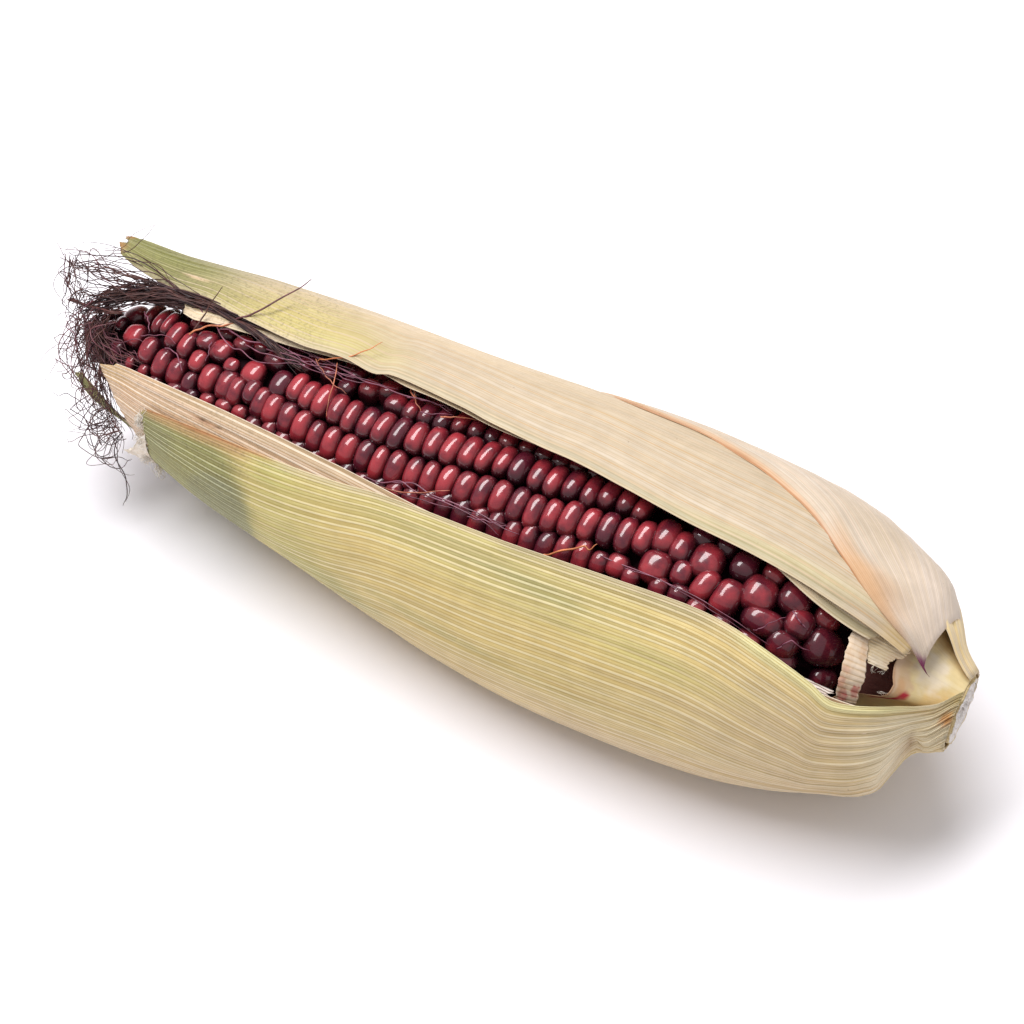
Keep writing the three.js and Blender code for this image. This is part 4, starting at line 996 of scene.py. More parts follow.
def all_kernels(kernels):
    """Every kernel, in a list for each row."""
    rng = np.random.default_rng(kernels.seed)
    rows = [regular_kernels(row, kernels, rng) for row in range(len(ROW_ANGLES))]
    for x, angle, half_length, half_width, tilt in LOOSE_KERNELS:
        half_length, half_width = half_length * kernels.plumpness, half_width * kernels.plumpness
        turns = [apart(angle, row_angle(row, x)) for row in range(len(rows))]
        rows[int(np.argmin(turns))].append([x, angle, half_length, half_width, tilt, 1])
    return rows


def build_kernels(row, found, kernels, material):
    """One row of kernels as one mesh of closed kernels."""
    rng = np.random.default_rng(kernels.seed + 100 + row)
    shape, quads, triangles = kernel_template(*(FINE_KERNEL if row in OPEN_ROWS else PLAIN_KERNEL))
    points, skins, all_quads, all_triangles = [], [], [], []
    for number, (x, angle, half_length, half_width, tilt, loose) in enumerate(found):
        crown = along(EAR_PROFILE, x) + rng.normal(0, CROWN_SCATTER) - LOOSE_SINK * loose
        rise = RISE_SHARE * (half_length + half_width)
        centre = crown - rise
        a, b, h = shape.T
        deep = np.maximum(-h, 0)
        skew = rng.normal(0, 0.05, 4)
        a = a * (1 + skew[0] * b) + skew[1] * h
        b = b * (1 + skew[2] * a * 0.6)
        plump = 1 + 0.04 * np.sin(3 * a + rng.uniform(0, 6)) * (1 - np.abs(h))
        s, c = np.sin(np.radians(tilt)), np.cos(np.radians(tilt))
        length = a * half_length * plump * (1 - ROOT_TAPER[0] * deep)
        width = b * half_width * kernels.breadth * plump * (1 - ROOT_TAPER[1] * deep)
        lengthwise = length * c - width * s
        crosswise = length * s + width * c
        slope = (along(EAR_PROFILE, x + 1.5) - along(EAR_PROFILE, x - 1.5)) / 3
        height = centre + h * np.where(h > 0, rise, min(ROOT_DEPTH, centre * ROOT_SHARE))
        height = height + lengthwise * np.clip(slope, -STEEPEST, STEEPEST)
        turn = angle + np.degrees(crosswise / crown)
        along_x = x + lengthwise / np.sqrt(1 + slope**2) - slope * h * rise * 0.5 * (h > 0)
        points.append(around(along_x, turn, np.maximum(height, 0.5)))
        # Kernels at the tip, and those listed as darkened by painted shade, get a darker tone.
        dark = x < TIP_KERNELS_X or any(
            abs(x - dark_x) < SHADE_REACH_X and apart(angle, dark_angle) < SHADE_REACH_ANGLE
            for dark_x, dark_angle in PAINTED_SHADE_KERNELS
        )
        tone = np.clip(rng.normal(TONE_MIDDLE, TONE_SPREAD), 0, 1) * (TIP_AND_SHADE_TONE if dark else 1)
        # Besides its tone, the skin keeps each point's height on the kernel and its place across,
        # which the material uses for painted shade.
        skins.append(np.stack([np.full(len(a), tone), h, np.abs(shape[:, 1])], axis=-1))
        all_quads.append(quads + number * len(shape))
        all_triangles.append(triangles + number * len(shape))
    node = f"kernel_row_{row + 1:02d}"
    return add_piece(
        node,
        np.concatenate(points),
        [np.concatenate(all_quads), np.concatenate(all_triangles)],
        material,
        "kernel",
        [node],
        skin=np.concatenate(skins),
    )


# ---- cob and stem -------------------------------------------------------------------------
COB_RINGS, COB_SIDES = 110, 84
COB_SHARE = 0.7  # of the crowns' radius
COB_TIP = (-120, -117)  # where the cob narrows to nothing, past the kernels of the tip
STEM_SIDES, STEM_RINGS, CUT_RINGS = 96, 50, 16
STEM_OUTLINE = [[0, 9.5], [3, 10.8], [9, 9.6]]  # from the stem's head, as [x, radius]
CUT_OUTLINE = [[-9, 8.0], [-4, 7.3], [0, 7.1]]  # up to its cut
HEEL_RISE, HEEL_ANGLE, HEEL_SPREAD = 1.5, -52, 48  # a bulge on one side of the cut
CUT_DIP = 0.3  # how far the cut face is sunk


def ring_faces(rows, sides):
    """Faces of a closed form: rings of points, then a point at its start and one at its end."""
    k = np.arange(rows * sides).reshape(rows, sides)
    right = np.roll(k, -1, axis=1)
    quads = np.stack([k[:-1], k[1:], right[1:], right[:-1]], axis=-1).reshape(-1, 4)
    start = np.stack([k[0], right[0], np.full(sides, rows * sides)], axis=-1)
    stop = np.stack([right[-1], k[-1], np.full(sides, rows * sides + 1)], axis=-1)
    return [quads, np.concatenate([start, stop])]


def turns(sides):
    """The angles of a ring's points."""
    return np.arange(sides)[None] * 360 / sides


def build_cob(material):
    """The cob under the kernels, rough with chaff."""
    rough = Unevenness(5)

    low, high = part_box("cob")
    past_kernels = 6
    x = np.linspace(low[0] / MM - past_kernels, high[0] / MM, COB_RINGS)[:, None]
    turn = turns(COB_SIDES)
    chaff = 0.5 * rough(x * 0.9, turn * 0.12, 2) + 0.35 * rough(x * 2.1, turn * 0.3)
    radius = np.maximum(along(EAR_PROFILE, x) * COB_SHARE + chaff, 0.4) * ease(*COB_TIP, x) + 0.3
    ends = np.stack([around(x[0, 0], 0, 0.0), around(x[-1, 0], 0, 0.0)])
    points = np.concatenate([around(x, turn, radius).reshape(-1, 3), ends])
    return add_piece("cob", points, ring_faces(COB_RINGS, COB_SIDES), material, "cob", ["cob"])


def build_stem(material):
    """The stem's stump, with a fibrous cut face."""
    rough = Unevenness(6)
    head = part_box("stem")[0][0] / MM
    steps = np.concatenate([np.linspace(head, CUT_X, STEM_RINGS), np.full(CUT_RINGS, CUT_X)])
    share = np.concatenate([np.ones(STEM_RINGS), np.linspace(1, 0.06, CUT_RINGS + 1)[1:]])
    steps, share = steps[:, None], share[:, None]
    outline = [[head + x, radius] for x, radius in STEM_OUTLINE]
    outline += [[CUT_X + x, radius] for x, radius in CUT_OUTLINE]
    turn = turns(STEM_SIDES)
    from_heel = (turn - HEEL_ANGLE + 180) % 360 - 180
    heel = HEEL_RISE * np.exp(-((from_heel / HEEL_SPREAD) ** 2)) * ease(CUT_X - 9, CUT_X - 3, steps)
    radius = (along(outline, steps) + heel + 0.25 * rough(turn * 0.2, 0.5, 2)) * share
    ragged = 0.5 * rough(radius * 1.3, turn * 0.05, 3) + 0.25 * rough(radius * 3, turn * 0.2)
    uneven = 0.35 * rough(turn * 0.08, 3.5, 2) * (steps >= CUT_X)
    x = steps + np.where(share < 1, ragged - CUT_DIP, 0.0) + uneven
    points = around(x, turn, radius)
    ends = np.stack([around(head, 0, 0.0), around(CUT_X - CUT_DIP, 0, 0.0)])
    cut = np.concatenate([np.repeat((share[:, 0] < 1).astype(float), STEM_SIDES), [0, 1]])
    place = np.stack([np.broadcast_to(turn, x.shape), x, radius], axis=-1).reshape(-1, 3)
    place = np.concatenate([place, [[0, head, 0], [0, CUT_X, 0]]])
    return add_piece(
        "stem",
        np.concatenate([points.reshape(-1, 3), ends]),
        ring_faces(len(steps), STEM_SIDES),
        material,
        "stem",
        ["stem"],
        cut=cut,
        grain=place,
    )


# ---- silk ---------------------------------------------------------------------------------
def tubes(paths, radii, sides=4):
    """Closed thin tubes along paths of points, as points, faces and the share of each length."""
    count, steps = paths.shape[:2]
    forward = np.gradient(paths, axis=1)
    forward /= np.linalg.norm(forward, axis=2, keepdims=True) + 1e-9
    reference = np.array([0.31, 0.52, 0.79])
    side = np.cross(forward, reference)
    side /= np.linalg.norm(side, axis=2, keepdims=True) + 1e-9
    up = np.cross(forward, side)
    turn = 2 * np.pi * np.arange(sides) / sides
    ring = np.cos(turn)[:, None] * side[:, :, None] + np.sin(turn)[:, None] * up[:, :, None]
    points = paths[:, :, None] + ring * radii[..., None, None]
    k = np.arange(count * steps * sides).reshape(count, steps, sides)
    right = np.roll(k, -1, axis=2)
    walls = np.stack([k[:, :-1], right[:, :-1], right[:, 1:], k[:, 1:]], axis=-1).reshape(-1, 4)
    caps = np.concatenate([k[:, 0, ::-1], k[:, -1]])
    share = np.broadcast_to(np.linspace(0, 1, steps)[None, :, None], (count, steps, sides))
    return points.reshape(-1, 3), [walls, caps], share.reshape(-1)


def spline(controls, steps):
    """Smooth paths through controls, an array of strand, control and coordinate."""
    places = np.linspace(0, 1, controls.shape[1])
    t = np.linspace(0, 1, steps)
    i = np.clip(np.searchsorted(places, t, side="right") - 1, 0, len(places) - 2)
    slopes = np.gradient(controls, places, axis=1)
    h = places[1] - places[0]
    s = ((t - places[i]) / h)[None, :, None]
    y0, y1 = controls[:, i], controls[:, i + 1]
    m0, m1 = slopes[:, i] * h, slopes[:, i + 1] * h
    a = 2 * s**3 - 3 * s**2
    return (a + 1) * y0 + (s**3 - 2 * s**2 + s) * m0 - a * y1 + (s**3 - s**2) * m1


def lock_of_silk(rng, places, count, steps, wander):
    """Strands through places given as x, y, z and spread, each with a wander of its own."""
    places = np.array(places, float)
    drift = rng.normal(size=(count, 1, 3))
    stray = rng.normal(size=(count, len(places), 3))
    paths = spline(places[None, :, :3] + (0.7 * drift + 0.6 * stray) * places[None, :, 3:], steps)
    t = np.linspace(0, 1, steps)[None, :, None]
    for waves, share in SILK_WAVES:
        rate = waves * rng.uniform(0.7, 1.3, (count, 1, 1))
        phase = rng.uniform(0, 2 * np.pi, (count, 1, 3))
        size = rng.uniform(0.2, 1.0, (count, 1, 3)) * wander * share
        paths = paths + size * np.sin(2 * np.pi * rate * t + phase) * ease(0, 0.3, t)
    return paths


def laid_path(places, steps):
    """A path over the ear through x, angle and height over the kernels' crowns."""
    places = np.array(places, float)
    bent = spline(places[None], steps)[0]
    radius = along(EAR_PROFILE, bent[:, 0]) + bent[:, 2]
    return around(bent[:, 0], bent[:, 1], radius)


def strand_shades(shares, count, rng, tones):
    """A shade for each strand, as a vector: tone, length share and a random number."""
    each = len(shares) // count
    tone = np.repeat(tones, each)
    chance = np.repeat(rng.random(count), each)
    return np.stack([tone, shares, chance], axis=-1)


def tapered(count, steps, thick, rng):
    """Radii along strands that thin out towards their ends."""
    t = np.linspace(0, 1, steps)[None]
    return thick / 2 * rng.uniform(0.7, 1.25, (count, 1)) * (1 - 0.6 * t**3)


SILK_STEPS = 36  # rings along a strand
SILK_WAVES = ((0.8, 0.9), (1.9, 0.4), (4.2, 0.1))  # waves along a strand, and their share
LEAST_HEIGHT = 0.3  # of silk and hairs over the floor


def build_locks(name, nodes, locks, silk, rng, material):
    """A piece made of many locks of silk, which stands for the nodes."""
    thick = silk.strand / MM
    paths, radii, tones = [], [], []
    for count, wander, width, darkest, lightest, places in locks:
        paths.append(lock_of_silk(rng, places, count, SILK_STEPS, wander))
        radii.append(tapered(count, SILK_STEPS, thick * width, rng))
        tones.append(rng.uniform(darkest, lightest, count))
    paths = np.concatenate(paths)
    paths[..., 2] = np.maximum(paths[..., 2], LEAST_HEIGHT)
    points, faces, share = tubes(paths, np.concatenate(radii))
    shade = strand_shades(share, len(paths), rng, np.concatenate(tones))
    add_piece(name, points, faces, material, "silk", nodes, shade=shade)


def build_silk(silk, material):
    """The bundle beside the back leaf, the tuft at the tip, and the strands over the kernels."""
    rng = np.random.default_rng(silk.seed)
    build_locks("silk_bundle", ["silk_bundle"], SILK_BUNDLE, silk, rng, material)
    build_locks("silk_tuft", ["silk_tuft"], SILK_TUFT, silk, rng, material)
    paths, radii, tones = [], [], []
    for tone, width, places in LAID_STRANDS:
        path = laid_path(places, SILK_STEPS)
        t = np.linspace(0, 1, SILK_STEPS)[:, None]
        paths.append(path + 0.12 * np.sin(2 * np.pi * 3.4 * t + rng.uniform(0, 6, (1, 3))))
        radii.append(tapered(1, SILK_STEPS, silk.strand / MM * width, rng)[0])
        tones.append(tone)
    paths = np.array(paths)
    points, faces, share = tubes(paths, np.array(radii), 5)
    shade = strand_shades(share, len(paths), rng, np.array(tones))
    add_piece("silk_strands", points, faces, material, "silk", shade=shade)
    build_locks("silk_crossing", [], SILK_CROSSING, silk, rng, material)


# ---- pale fuzz at the tips of the front leaves ----------------------------------------------
# Tufts of short pale hairs: how many, where they start and end as x, angle and height over the
# husk's outer surface, and how far they spread at both ends.
FUZZ = [
    (60, [-89.4, 8, -0.3], [-90.6, 4, 0.5], 2.6, 0.7),
    (50, [-89.2, -8, 0.0], [-90.6, -12, 0.7], 2.6, 0.8),
    (40, [-88.5, -26, 0.3], [-91.5, -32, 2.0], 1.6, 1.0),
    (30, [-87.0, -30, 0.3], [-86.5, -36, 2.2], 2.0, 1.0),
    (5, [98.2, 36, -7.4], [96.8, 38, -7.2], 1.4, 0.5),
    (4, [96.2, 57, -6.6], [95.4, 53, -7.0], 1.0, 0.5),
    (4, [93.8, 56, -5.6], [94.2, 51, -6.4], 0.7, 0.5),
]
# The skin at the torn tip: from its first to its last value of x, low angle, high angle and lift.
MEMBRANE = ([-95.5, -88.0], [-36, -38], [-20, 0], [2.6, 0.25])
MEMBRANE_GRID, MEMBRANE_THICKNESS = 26, 0.12
HAIR_STEPS, HAIR_THICKNESS = 7, 0.13
# How far hairs scatter at their roots and ends, and how far they bend, as x, angle and height.
HAIR_ROOTS, HAIR_ENDS = np.array([0.3, 1.6, 0.12]), np.array([0.7, 2.6, 0.5])
HAIR_BEND = np.array([0.5, 2.0, 0.4])


def build_fuzz(material):
    """Short pale hairs and a thin pale skin where the outer leaf's tip has torn off."""
    rng = np.random.default_rng(31)
    paths = []
    for count, start, end, tight, loose in FUZZ:
        t = np.linspace(0, 1, HAIR_STEPS)[None, :, None]
        first = np.array(start) + rng.normal(size=(count, 1, 3)) * HAIR_ROOTS * tight
        last = np.array(end) + rng.normal(size=(count, 1, 3)) * HAIR_ENDS * loose
        bend = rng.normal(size=(count, 1, 3)) * HAIR_BEND
        places = first + (last - first) * t + bend * np.sin(np.pi * t)
        radius = husk_radius(places[..., 0], places[..., 1]) + places[..., 2]
        paths.append(around(places[..., 0], places[..., 1], np.maximum(radius, 1)))
    paths = np.concatenate(paths)
    paths[..., 2] = np.maximum(paths[..., 2], LEAST_HEIGHT)
    hairs, hair_faces, share = tubes(paths, tapered(len(paths), HAIR_STEPS, HAIR_THICKNESS, rng), 3)
    u = np.linspace(0, 1, MEMBRANE_GRID)[:, None]
    v = np.linspace(0, 1, MEMBRANE_GRID)[None]
    rough = Unevenness(9)
    x, low, high, lift = (first + (last - first) * u for first, last in MEMBRANE)
    x = x + 1.6 * rough(v * 7, 0.5, 3) * (1 - u)
    narrow = 0.35 + 0.65 * ease(0, 0.8, u)
    angle = (low + high) / 2 + (high - low) * (v - 0.5) * narrow + 1.5 * rough(u * 5, 4.5 + v, 2)
    radius = husk_radius(x, angle) + (lift + 0.35 * rough(u * 6, v * 6, 2))
    skin = [around(x, angle, radius), around(x, angle, radius - MEMBRANE_THICKNESS)]
    skin = np.concatenate([side.reshape(-1, 3) for side in skin])
    add_piece(
        "husk_fuzz",
        np.concatenate([hairs, skin]),
        [*hair_faces, sheet_faces(MEMBRANE_GRID, MEMBRANE_GRID) + len(hairs)],
        material,
        "husk_torn",
        share=np.concatenate([share, np.zeros(len(skin))]),
    )


# ---- node helpers -------------------------------------------------------------------------
class Tree:
    """Short ways to add and join shader nodes."""

    def __init__(self, tree):
        self.nodes, self.links = tree.nodes, tree.links

    def add(self, kind, inputs=None, **settings):
        node = self.nodes.new(kind)
        for key, value in settings.items():
            setattr(node, key, value)
        for key, value in (inputs or {}).items():
            self.feed(node.inputs[key], value)
        return node

    def feed(self, socket, value):
        if isinstance(value, bpy.types.NodeSocket):
            self.links.new(value, socket)
        else:
            socket.default_value = value

    def maths(self, operation, *values):
        return self.add("ShaderNodeMath", dict(enumerate(values)), operation=operation).outputs[0]

    def times(self, first, second):
        return self.maths("MULTIPLY", first, second)

    def plus(self, first, second):
        return self.maths("ADD", first, second)

    def place(self):
        return self.add("ShaderNodeTexCoord").outputs["Object"]

    def split(self, vector):
        return self.add("ShaderNodeSeparateXYZ", {0: vector}).outputs

    def vector(self, x, y):
        return self.add("ShaderNodeCombineXYZ", {0: x, 1: y}).outputs[0]

    def colour(self, red, green, blue):
        return self.add("ShaderNodeCombineColor", {0: red, 1: green, 2: blue}).outputs[0]

    def bump(self, height, strength, distance):
        inputs = {"Strength": strength, "Distance": distance, "Height": height}
        return self.add("ShaderNodeBump", inputs).outputs[0]

    def mix(self, share, first, second, blend="MIX"):
        node = self.add("ShaderNodeMix", data_type="RGBA", blend_type=blend)
        for index, value in ((0, share), (6, first), (7, second)):
            self.feed(node.inputs[index], value)
        return node.outputs[2]

    def ease(self, value, low, high, to_low=0.0, to_high=1.0):
        node = self.add("ShaderNodeMapRange", interpolation_type="SMOOTHSTEP")
        for index, number in enumerate((value, low, high, to_low, to_high)):
            self.feed(node.inputs[index], number)
        return node.outputs[0]

    def noise(self, vector, scale, detail=2.0, rough=0.5):
        inputs = {"Scale": scale, "Detail": detail, "Roughness": rough}
        node = self.add("ShaderNodeTexNoise", inputs)
        if vector is not None:
            self.feed(node.inputs["Vector"], vector)
        return node.outputs[0]


def new_group(name, inputs, outputs):
    """A shader node group, with its tree helper, its input sockets and its output node."""
    group = bpy.data.node_groups.new(name, "ShaderNodeTree")
    for label, kind, default in inputs:
        socket = group.interface.new_socket(label, in_out="INPUT", socket_type=kind)
        if default is not None:
            socket.default_value = default
    for label, kind in outputs:
        group.interface.new_socket(label, in_out="OUTPUT", socket_type=kind)
    tree = Tree(group)
    return group, tree, tree.add("NodeGroupInput").outputs, tree.add("NodeGroupOutput").inputs


def leaf_fibres_group():
    """Veins, lines and streaks that follow a leaf: masks and a height from its vein numbers."""
    group, t, given, out = new_group(
        "Leaf fibres",
        [("Fibre", "NodeSocketVector", None), ("Main Every", "NodeSocketFloat", 3.0),
            ("Fine Lines", "NodeSocketFloat", 3.0)],
        [(label, "NodeSocketFloat") for label in ("Main Vein", "Line", "Fine Line", "Streaks",
            "Height")],
    )
    split = t.split(given["Fibre"])
    number, length, width = split[0], split[1], split[2]
    place = t.vector(t.times(number, 0.4), t.times(length, 0.02))
    bend = t.times(t.maths("SUBTRACT", t.noise(place, 1.0, 3.0), 0.5), 0.5)
    shifted = t.plus(number, bend)

    def away(value):
        return t.maths("ABSOLUTE", t.maths("SUBTRACT", t.maths("FRACT", t.plus(value, 0.5)), 0.5))

    def chance(value, seed):
        whole = t.maths("FLOOR", t.plus(value, 0.5))
        node = t.add("ShaderNodeTexWhiteNoise", {"W": t.plus(whole, seed)}, noise_dimensions="1D")
        return node.outputs["Value"]

    spaced = t.maths("DIVIDE", shifted, given["Main Every"])
    from_main = t.times(away(spaced), given["Main Every"])
    main = t.ease(from_main, t.times(width, 1.3), t.times(width, 0.4))
    main = t.times(main, t.ease(chance(spaced, 0.37), 0.0, 0.7, 0.45, 1.0))
    line_chance = t.ease(chance(shifted, 5.21), 0.0, 1.0, 0.5, 1.0)
    line = t.times(t.ease(away(shifted), 0.49, 0.24), line_chance)
    finely = t.times(shifted, given["Fine Lines"])
    fine_chance = t.ease(chance(finely, 9.73), 0.0, 1.0, 0.2, 1.0)
    fine = t.times(t.ease(away(finely), 0.45, 0.15), fine_chance)
    streaks = t.noise(t.vector(t.times(number, 1.7), t.times(length, 0.07)), 1.0, 4.0, 0.6)
    height = t.plus(t.times(main, 0.4), t.times(line, 0.45))
    height = t.plus(height, t.times(fine, 0.18))
    height = t.plus(height, t.times(streaks, 0.3))
    for label, value in (
        ("Main Vein", main), ("Line", line), ("Fine Line", fine), ("Streaks", streaks),
        ("Height", height),
    ):
        t.feed(out[label], value)
    return group


def specks_group():
    """Small dark specks scattered over a surface."""
    group, t, given, out = new_group(
        "Specks",
        [("Vector", "NodeSocketVector", None), ("Scale", "NodeSocketFloat", 300.0),
            ("Size", "NodeSocketFloat", 0.12)],
        [("Specks", "NodeSocketFloat")],
    )
    cell = t.add("ShaderNodeTexVoronoi", {"Vector": given["Vector"], "Scale": given["Scale"]})
    chosen = t.ease(t.noise(given["Vector"], 90.0, 2.0), 0.56, 0.66)
    spot = t.ease(cell.outputs["Distance"], given["Size"], t.times(given["Size"], 0.5))
    t.feed(out["Specks"], t.times(spot, chosen))
    return group


def new_material(name):
    """A material with its tree helper and its shader's inputs."""
    material = bpy.data.materials.new(name)
    material.use_nodes = True
    material.node_tree.nodes.clear()
    tree = Tree(material.node_tree)
    shader = tree.add("ShaderNodeBsdfPrincipled")
    output = tree.add("ShaderNodeOutputMaterial")
    tree.links.new(shader.outputs[0], output.inputs[0])
    return material, tree, shader.inputs


def attribute(tree, name):
    return tree.add("ShaderNodeAttribute", attribute_name=name, attribute_type="GEOMETRY").outputs


def use_group(tree, group, **inputs):
    node = tree.add("ShaderNodeGroup", node_tree=group)
    for key, value in inputs.items():
        tree.feed(node.inputs[key.replace("_", " ")], value)
    return node.outputs


# Kinds of husk: veins from one main vein to the next, bump, contrast of the streaks and of the
# painted shade in the grooves between lines, and wear.
HUSK_KINDS = {
    "husk_green": (2.0, 0.46, 0.88, 0.35),
    "husk_tan": (2.0, 0.42, 0.95, 0.25),
    "husk_cream": (2.0, 0.22, 0.42, 0.45),
    "husk_pink": (2.0, 0.2, 0.42, 0.3),
    "husk_torn": (1.0, 0.22, 0.35, 0.3),
    "husk_hollow": (9.0, 0.08, 0.08, 0.3),
}


def husk_material(name, fibres, specks, husk, every, bump, contrast, worn):
    """Dry husk: veins, lines and streaks over the leaf's own colours, with painted shade in the
    grooves between the lines.
    """
    material, t, shader = new_material(name)
    place = t.place()
    lines = use_group(t, fibres, Fibre=attribute(t, "fibre")["Vector"], Main_Every=every)
    tint, vein = attribute(t, "tint")["Color"], attribute(t, "vein")["Color"]
    shade = t.ease(lines["Streaks"], 0.25, 0.75, 1 - 0.17 * contrast, 1 + 0.12 * contrast)
    # Painted shade in the grooves between the lines, with the lines' crests a little lighter as
    # painted light; the warm tint below carries this shade into the colour.
    for label, depth in (("Line", 0.3), ("Fine Line", 0.12)):
        lit = t.ease(lines[label], 0.0, 1.0, 1 - depth * contrast, 1 + 0.06 * contrast)
        shade = t.times(shade, lit)
    warm = t.colour(t.maths("POWER", shade, 0.7), shade, t.maths("POWER", shade, 1.7))
    blotch = t.ease(t.noise(place, 220.0, 4.0, 0.6), 0.3, 0.7, 0.95, 1.04)
    ground = t.mix(1.0, tint, warm, "MULTIPLY")
    coloured = t.mix(t.times(lines["Main Vein"], husk.vein_share), ground, vein)
    coloured = t.mix(1.0, coloured, t.colour(blotch, blotch, blotch), "MULTIPLY")
    spots = use_group(t, specks, Vector=place, Scale=420.0, Size=0.09)["Specks"]
    coloured = t.mix(t.times(spots, 0.55), coloured, opaque(SPECK_BROWN))
    near_tip = t.ease(t.split(attribute(t, "fibre")["Vector"])[1], -48.0, -62.0)
    weathered = t.ease(t.noise(place, 1200.0, 3.0, 0.7), 0.5, 0.64, 0.0, husk.weathering * worn)
    coloured = t.mix(t.times(near_tip, weathered), coloured, opaque(WEATHERED))
    t.feed(shader["Base Color"], coloured)
    t.feed(shader["Roughness"], t.ease(lines["Streaks"], 0.2, 0.8, 0.62, 0.46))
    shader["Specular IOR Level"].default_value = 0.35
    shader["Sheen Weight"].default_value = 0.08
    relief = t.plus(lines["Height"], t.times(t.noise(place, 900.0, 3.0), 0.25))
    t.feed(shader["Normal"], t.bump(relief, bump, 0.0003))
    return material


def kernel_material(kernels, specks):
    """Glossy dark red skin, with painted shade that darkens it down the sides and at both ends
    across the row, so the crown stays brighter.
    """
    material, t, shader = new_material("Kernel skin")
    place = t.place()
    skin = t.split(attribute(t, "skin")["Vector"])
    cloud = t.noise(place, 260.0, 3.0, 0.55)
    fine = t.noise(place, 1500.0, 3.0, 0.6)
    warm = t.plus(t.times(skin[0], 0.75), t.times(t.maths("SUBTRACT", cloud, 0.5), 1.1))
    body = t.mix(t.ease(warm, 0.12, 0.72), tuple(kernels.deep) + (1,), tuple(kernels.bright) + (1,))
    # Painted shade: the skin darkens towards the edge colour down a kernel's sides and at both ends
    # across its row.
    side = t.maths("MAXIMUM", t.ease(skin[1], 0.99, 0.35), t.ease(skin[2], 0.4, 1.0, 0.0, 0.8))
    body = t.mix(t.times(side, 0.88), body, tuple(kernels.edge) + (1,))
    dust = t.times(t.ease(fine, 0.52, 0.75), t.ease(cloud, 0.45, 0.75))
    body = t.mix(t.times(dust, 0.14), body, opaque(KERNEL_DUST))
    crumbs = use_group(t, specks, Vector=place, Scale=560.0, Size=0.07)["Specks"]
    body = t.mix(t.times(crumbs, 0.75), body, opaque(KERNEL_CRUMB))
    t.feed(shader["Base Color"], body)
    t.feed(shader["Roughness"], t.ease(fine, 0.3, 0.75, 0.24, 0.36))
    shader["Coat Weight"].default_value = 0.8
    shader["Coat Roughness"].default_value = 0.09
    shader["Coat IOR"].default_value = 1.62
    shader["Specular IOR Level"].default_value = 0.2
    relief = t.plus(t.times(cloud, 1.0), t.times(fine, 0.12))
    t.feed(shader["Normal"], t.bump(relief, 0.18, 0.0004))
    return material


def pale_fibre_material():
    """Dull white hairs and skin, yellower towards their roots."""
    material, t, shader = new_material("Pale fibre")
    place = t.place()
    grain = t.noise(place, 800.0, 3.0, 0.6)
    worn = t.mix(t.ease(grain, 0.35, 0.7), opaque(HAIR_CREAM), opaque(HAIR_WHITE))
    rooted = t.ease(attribute(t, "share")["Fac"], 0.0, 0.6, 0.25, 0.0)
    t.feed(shader["Base Color"], t.mix(rooted, worn, opaque(HAIR_ROOT)))
    t.feed(shader["Roughness"], t.ease(grain, 0.3, 0.7, 0.5, 0.8))
    return material


def cob_material():
    """Dark papery chaff between the kernels, darkened nearly to black as painted shade for the deep
    gaps.
    """
    material, t, shader = new_material("Cob chaff")
    place = t.place()
    grain = t.noise(place, 700.0, 4.0, 0.65)
    base = t.mix(t.ease(grain, 0.35, 0.7), opaque(CHAFF_PAINTED_SHADE_DARKER), opaque(CHAFF_PAINTED_SHADE_LIGHTER))
    t.feed(shader["Base Color"], base)
    t.feed(shader["Roughness"], t.ease(grain, 0.3, 0.7, 0.75, 0.95))
    shader["Specular IOR Level"].default_value = 0.12
    t.feed(shader["Normal"], t.bump(grain, 0.6, 0.0005))
    return material


def stem_material(specks):
    """Green-cream stem with a grey-white fibrous cut, and painted shade on its side in the hollow
    towards the cob.
    """
    material, t, shader = new_material("Stem")
    place = t.place()
    grain = t.split(attribute(t, "grain")["Vector"])
    cut = attribute(t, "cut")["Fac"]
    fibres = t.noise(t.vector(t.times(grain[0], 0.35), t.times(grain[1], 0.12)), 1.0, 4.0, 0.6)
    side = t.mix(t.ease(fibres, 0.35, 0.65), opaque(STEM_CREAM), opaque(STEM_PALE))
    # Painted shade: the side turns dark brown towards the cob, in the hollow beside the stem.
    side = t.mix(t.ease(grain[1], HOLLOW_X + 1.5, HOLLOW_X - 1.0), side, opaque(HOLLOW_PAINTED_SHADE))
    pith = t.noise(place, 1100.0, 4.0, 0.7)
    face = t.mix(t.ease(pith, 0.35, 0.68), opaque(PITH), opaque(PITH_WHITE))
    spots = use_group(t, specks, Vector=place, Scale=900.0, Size=0.2)["Specks"]
    face = t.mix(t.times(spots, 0.85), face, opaque(PITH_HOLE))
    t.feed(shader["Base Color"], t.mix(cut, side, face))
    t.feed(shader["Roughness"], t.ease(pith, 0.3, 0.7, 0.65, 0.9))
    relief = t.plus(t.times(fibres, 0.6), pith)
    t.feed(shader["Normal"], t.bump(relief, 0.7, 0.0005))
    return material


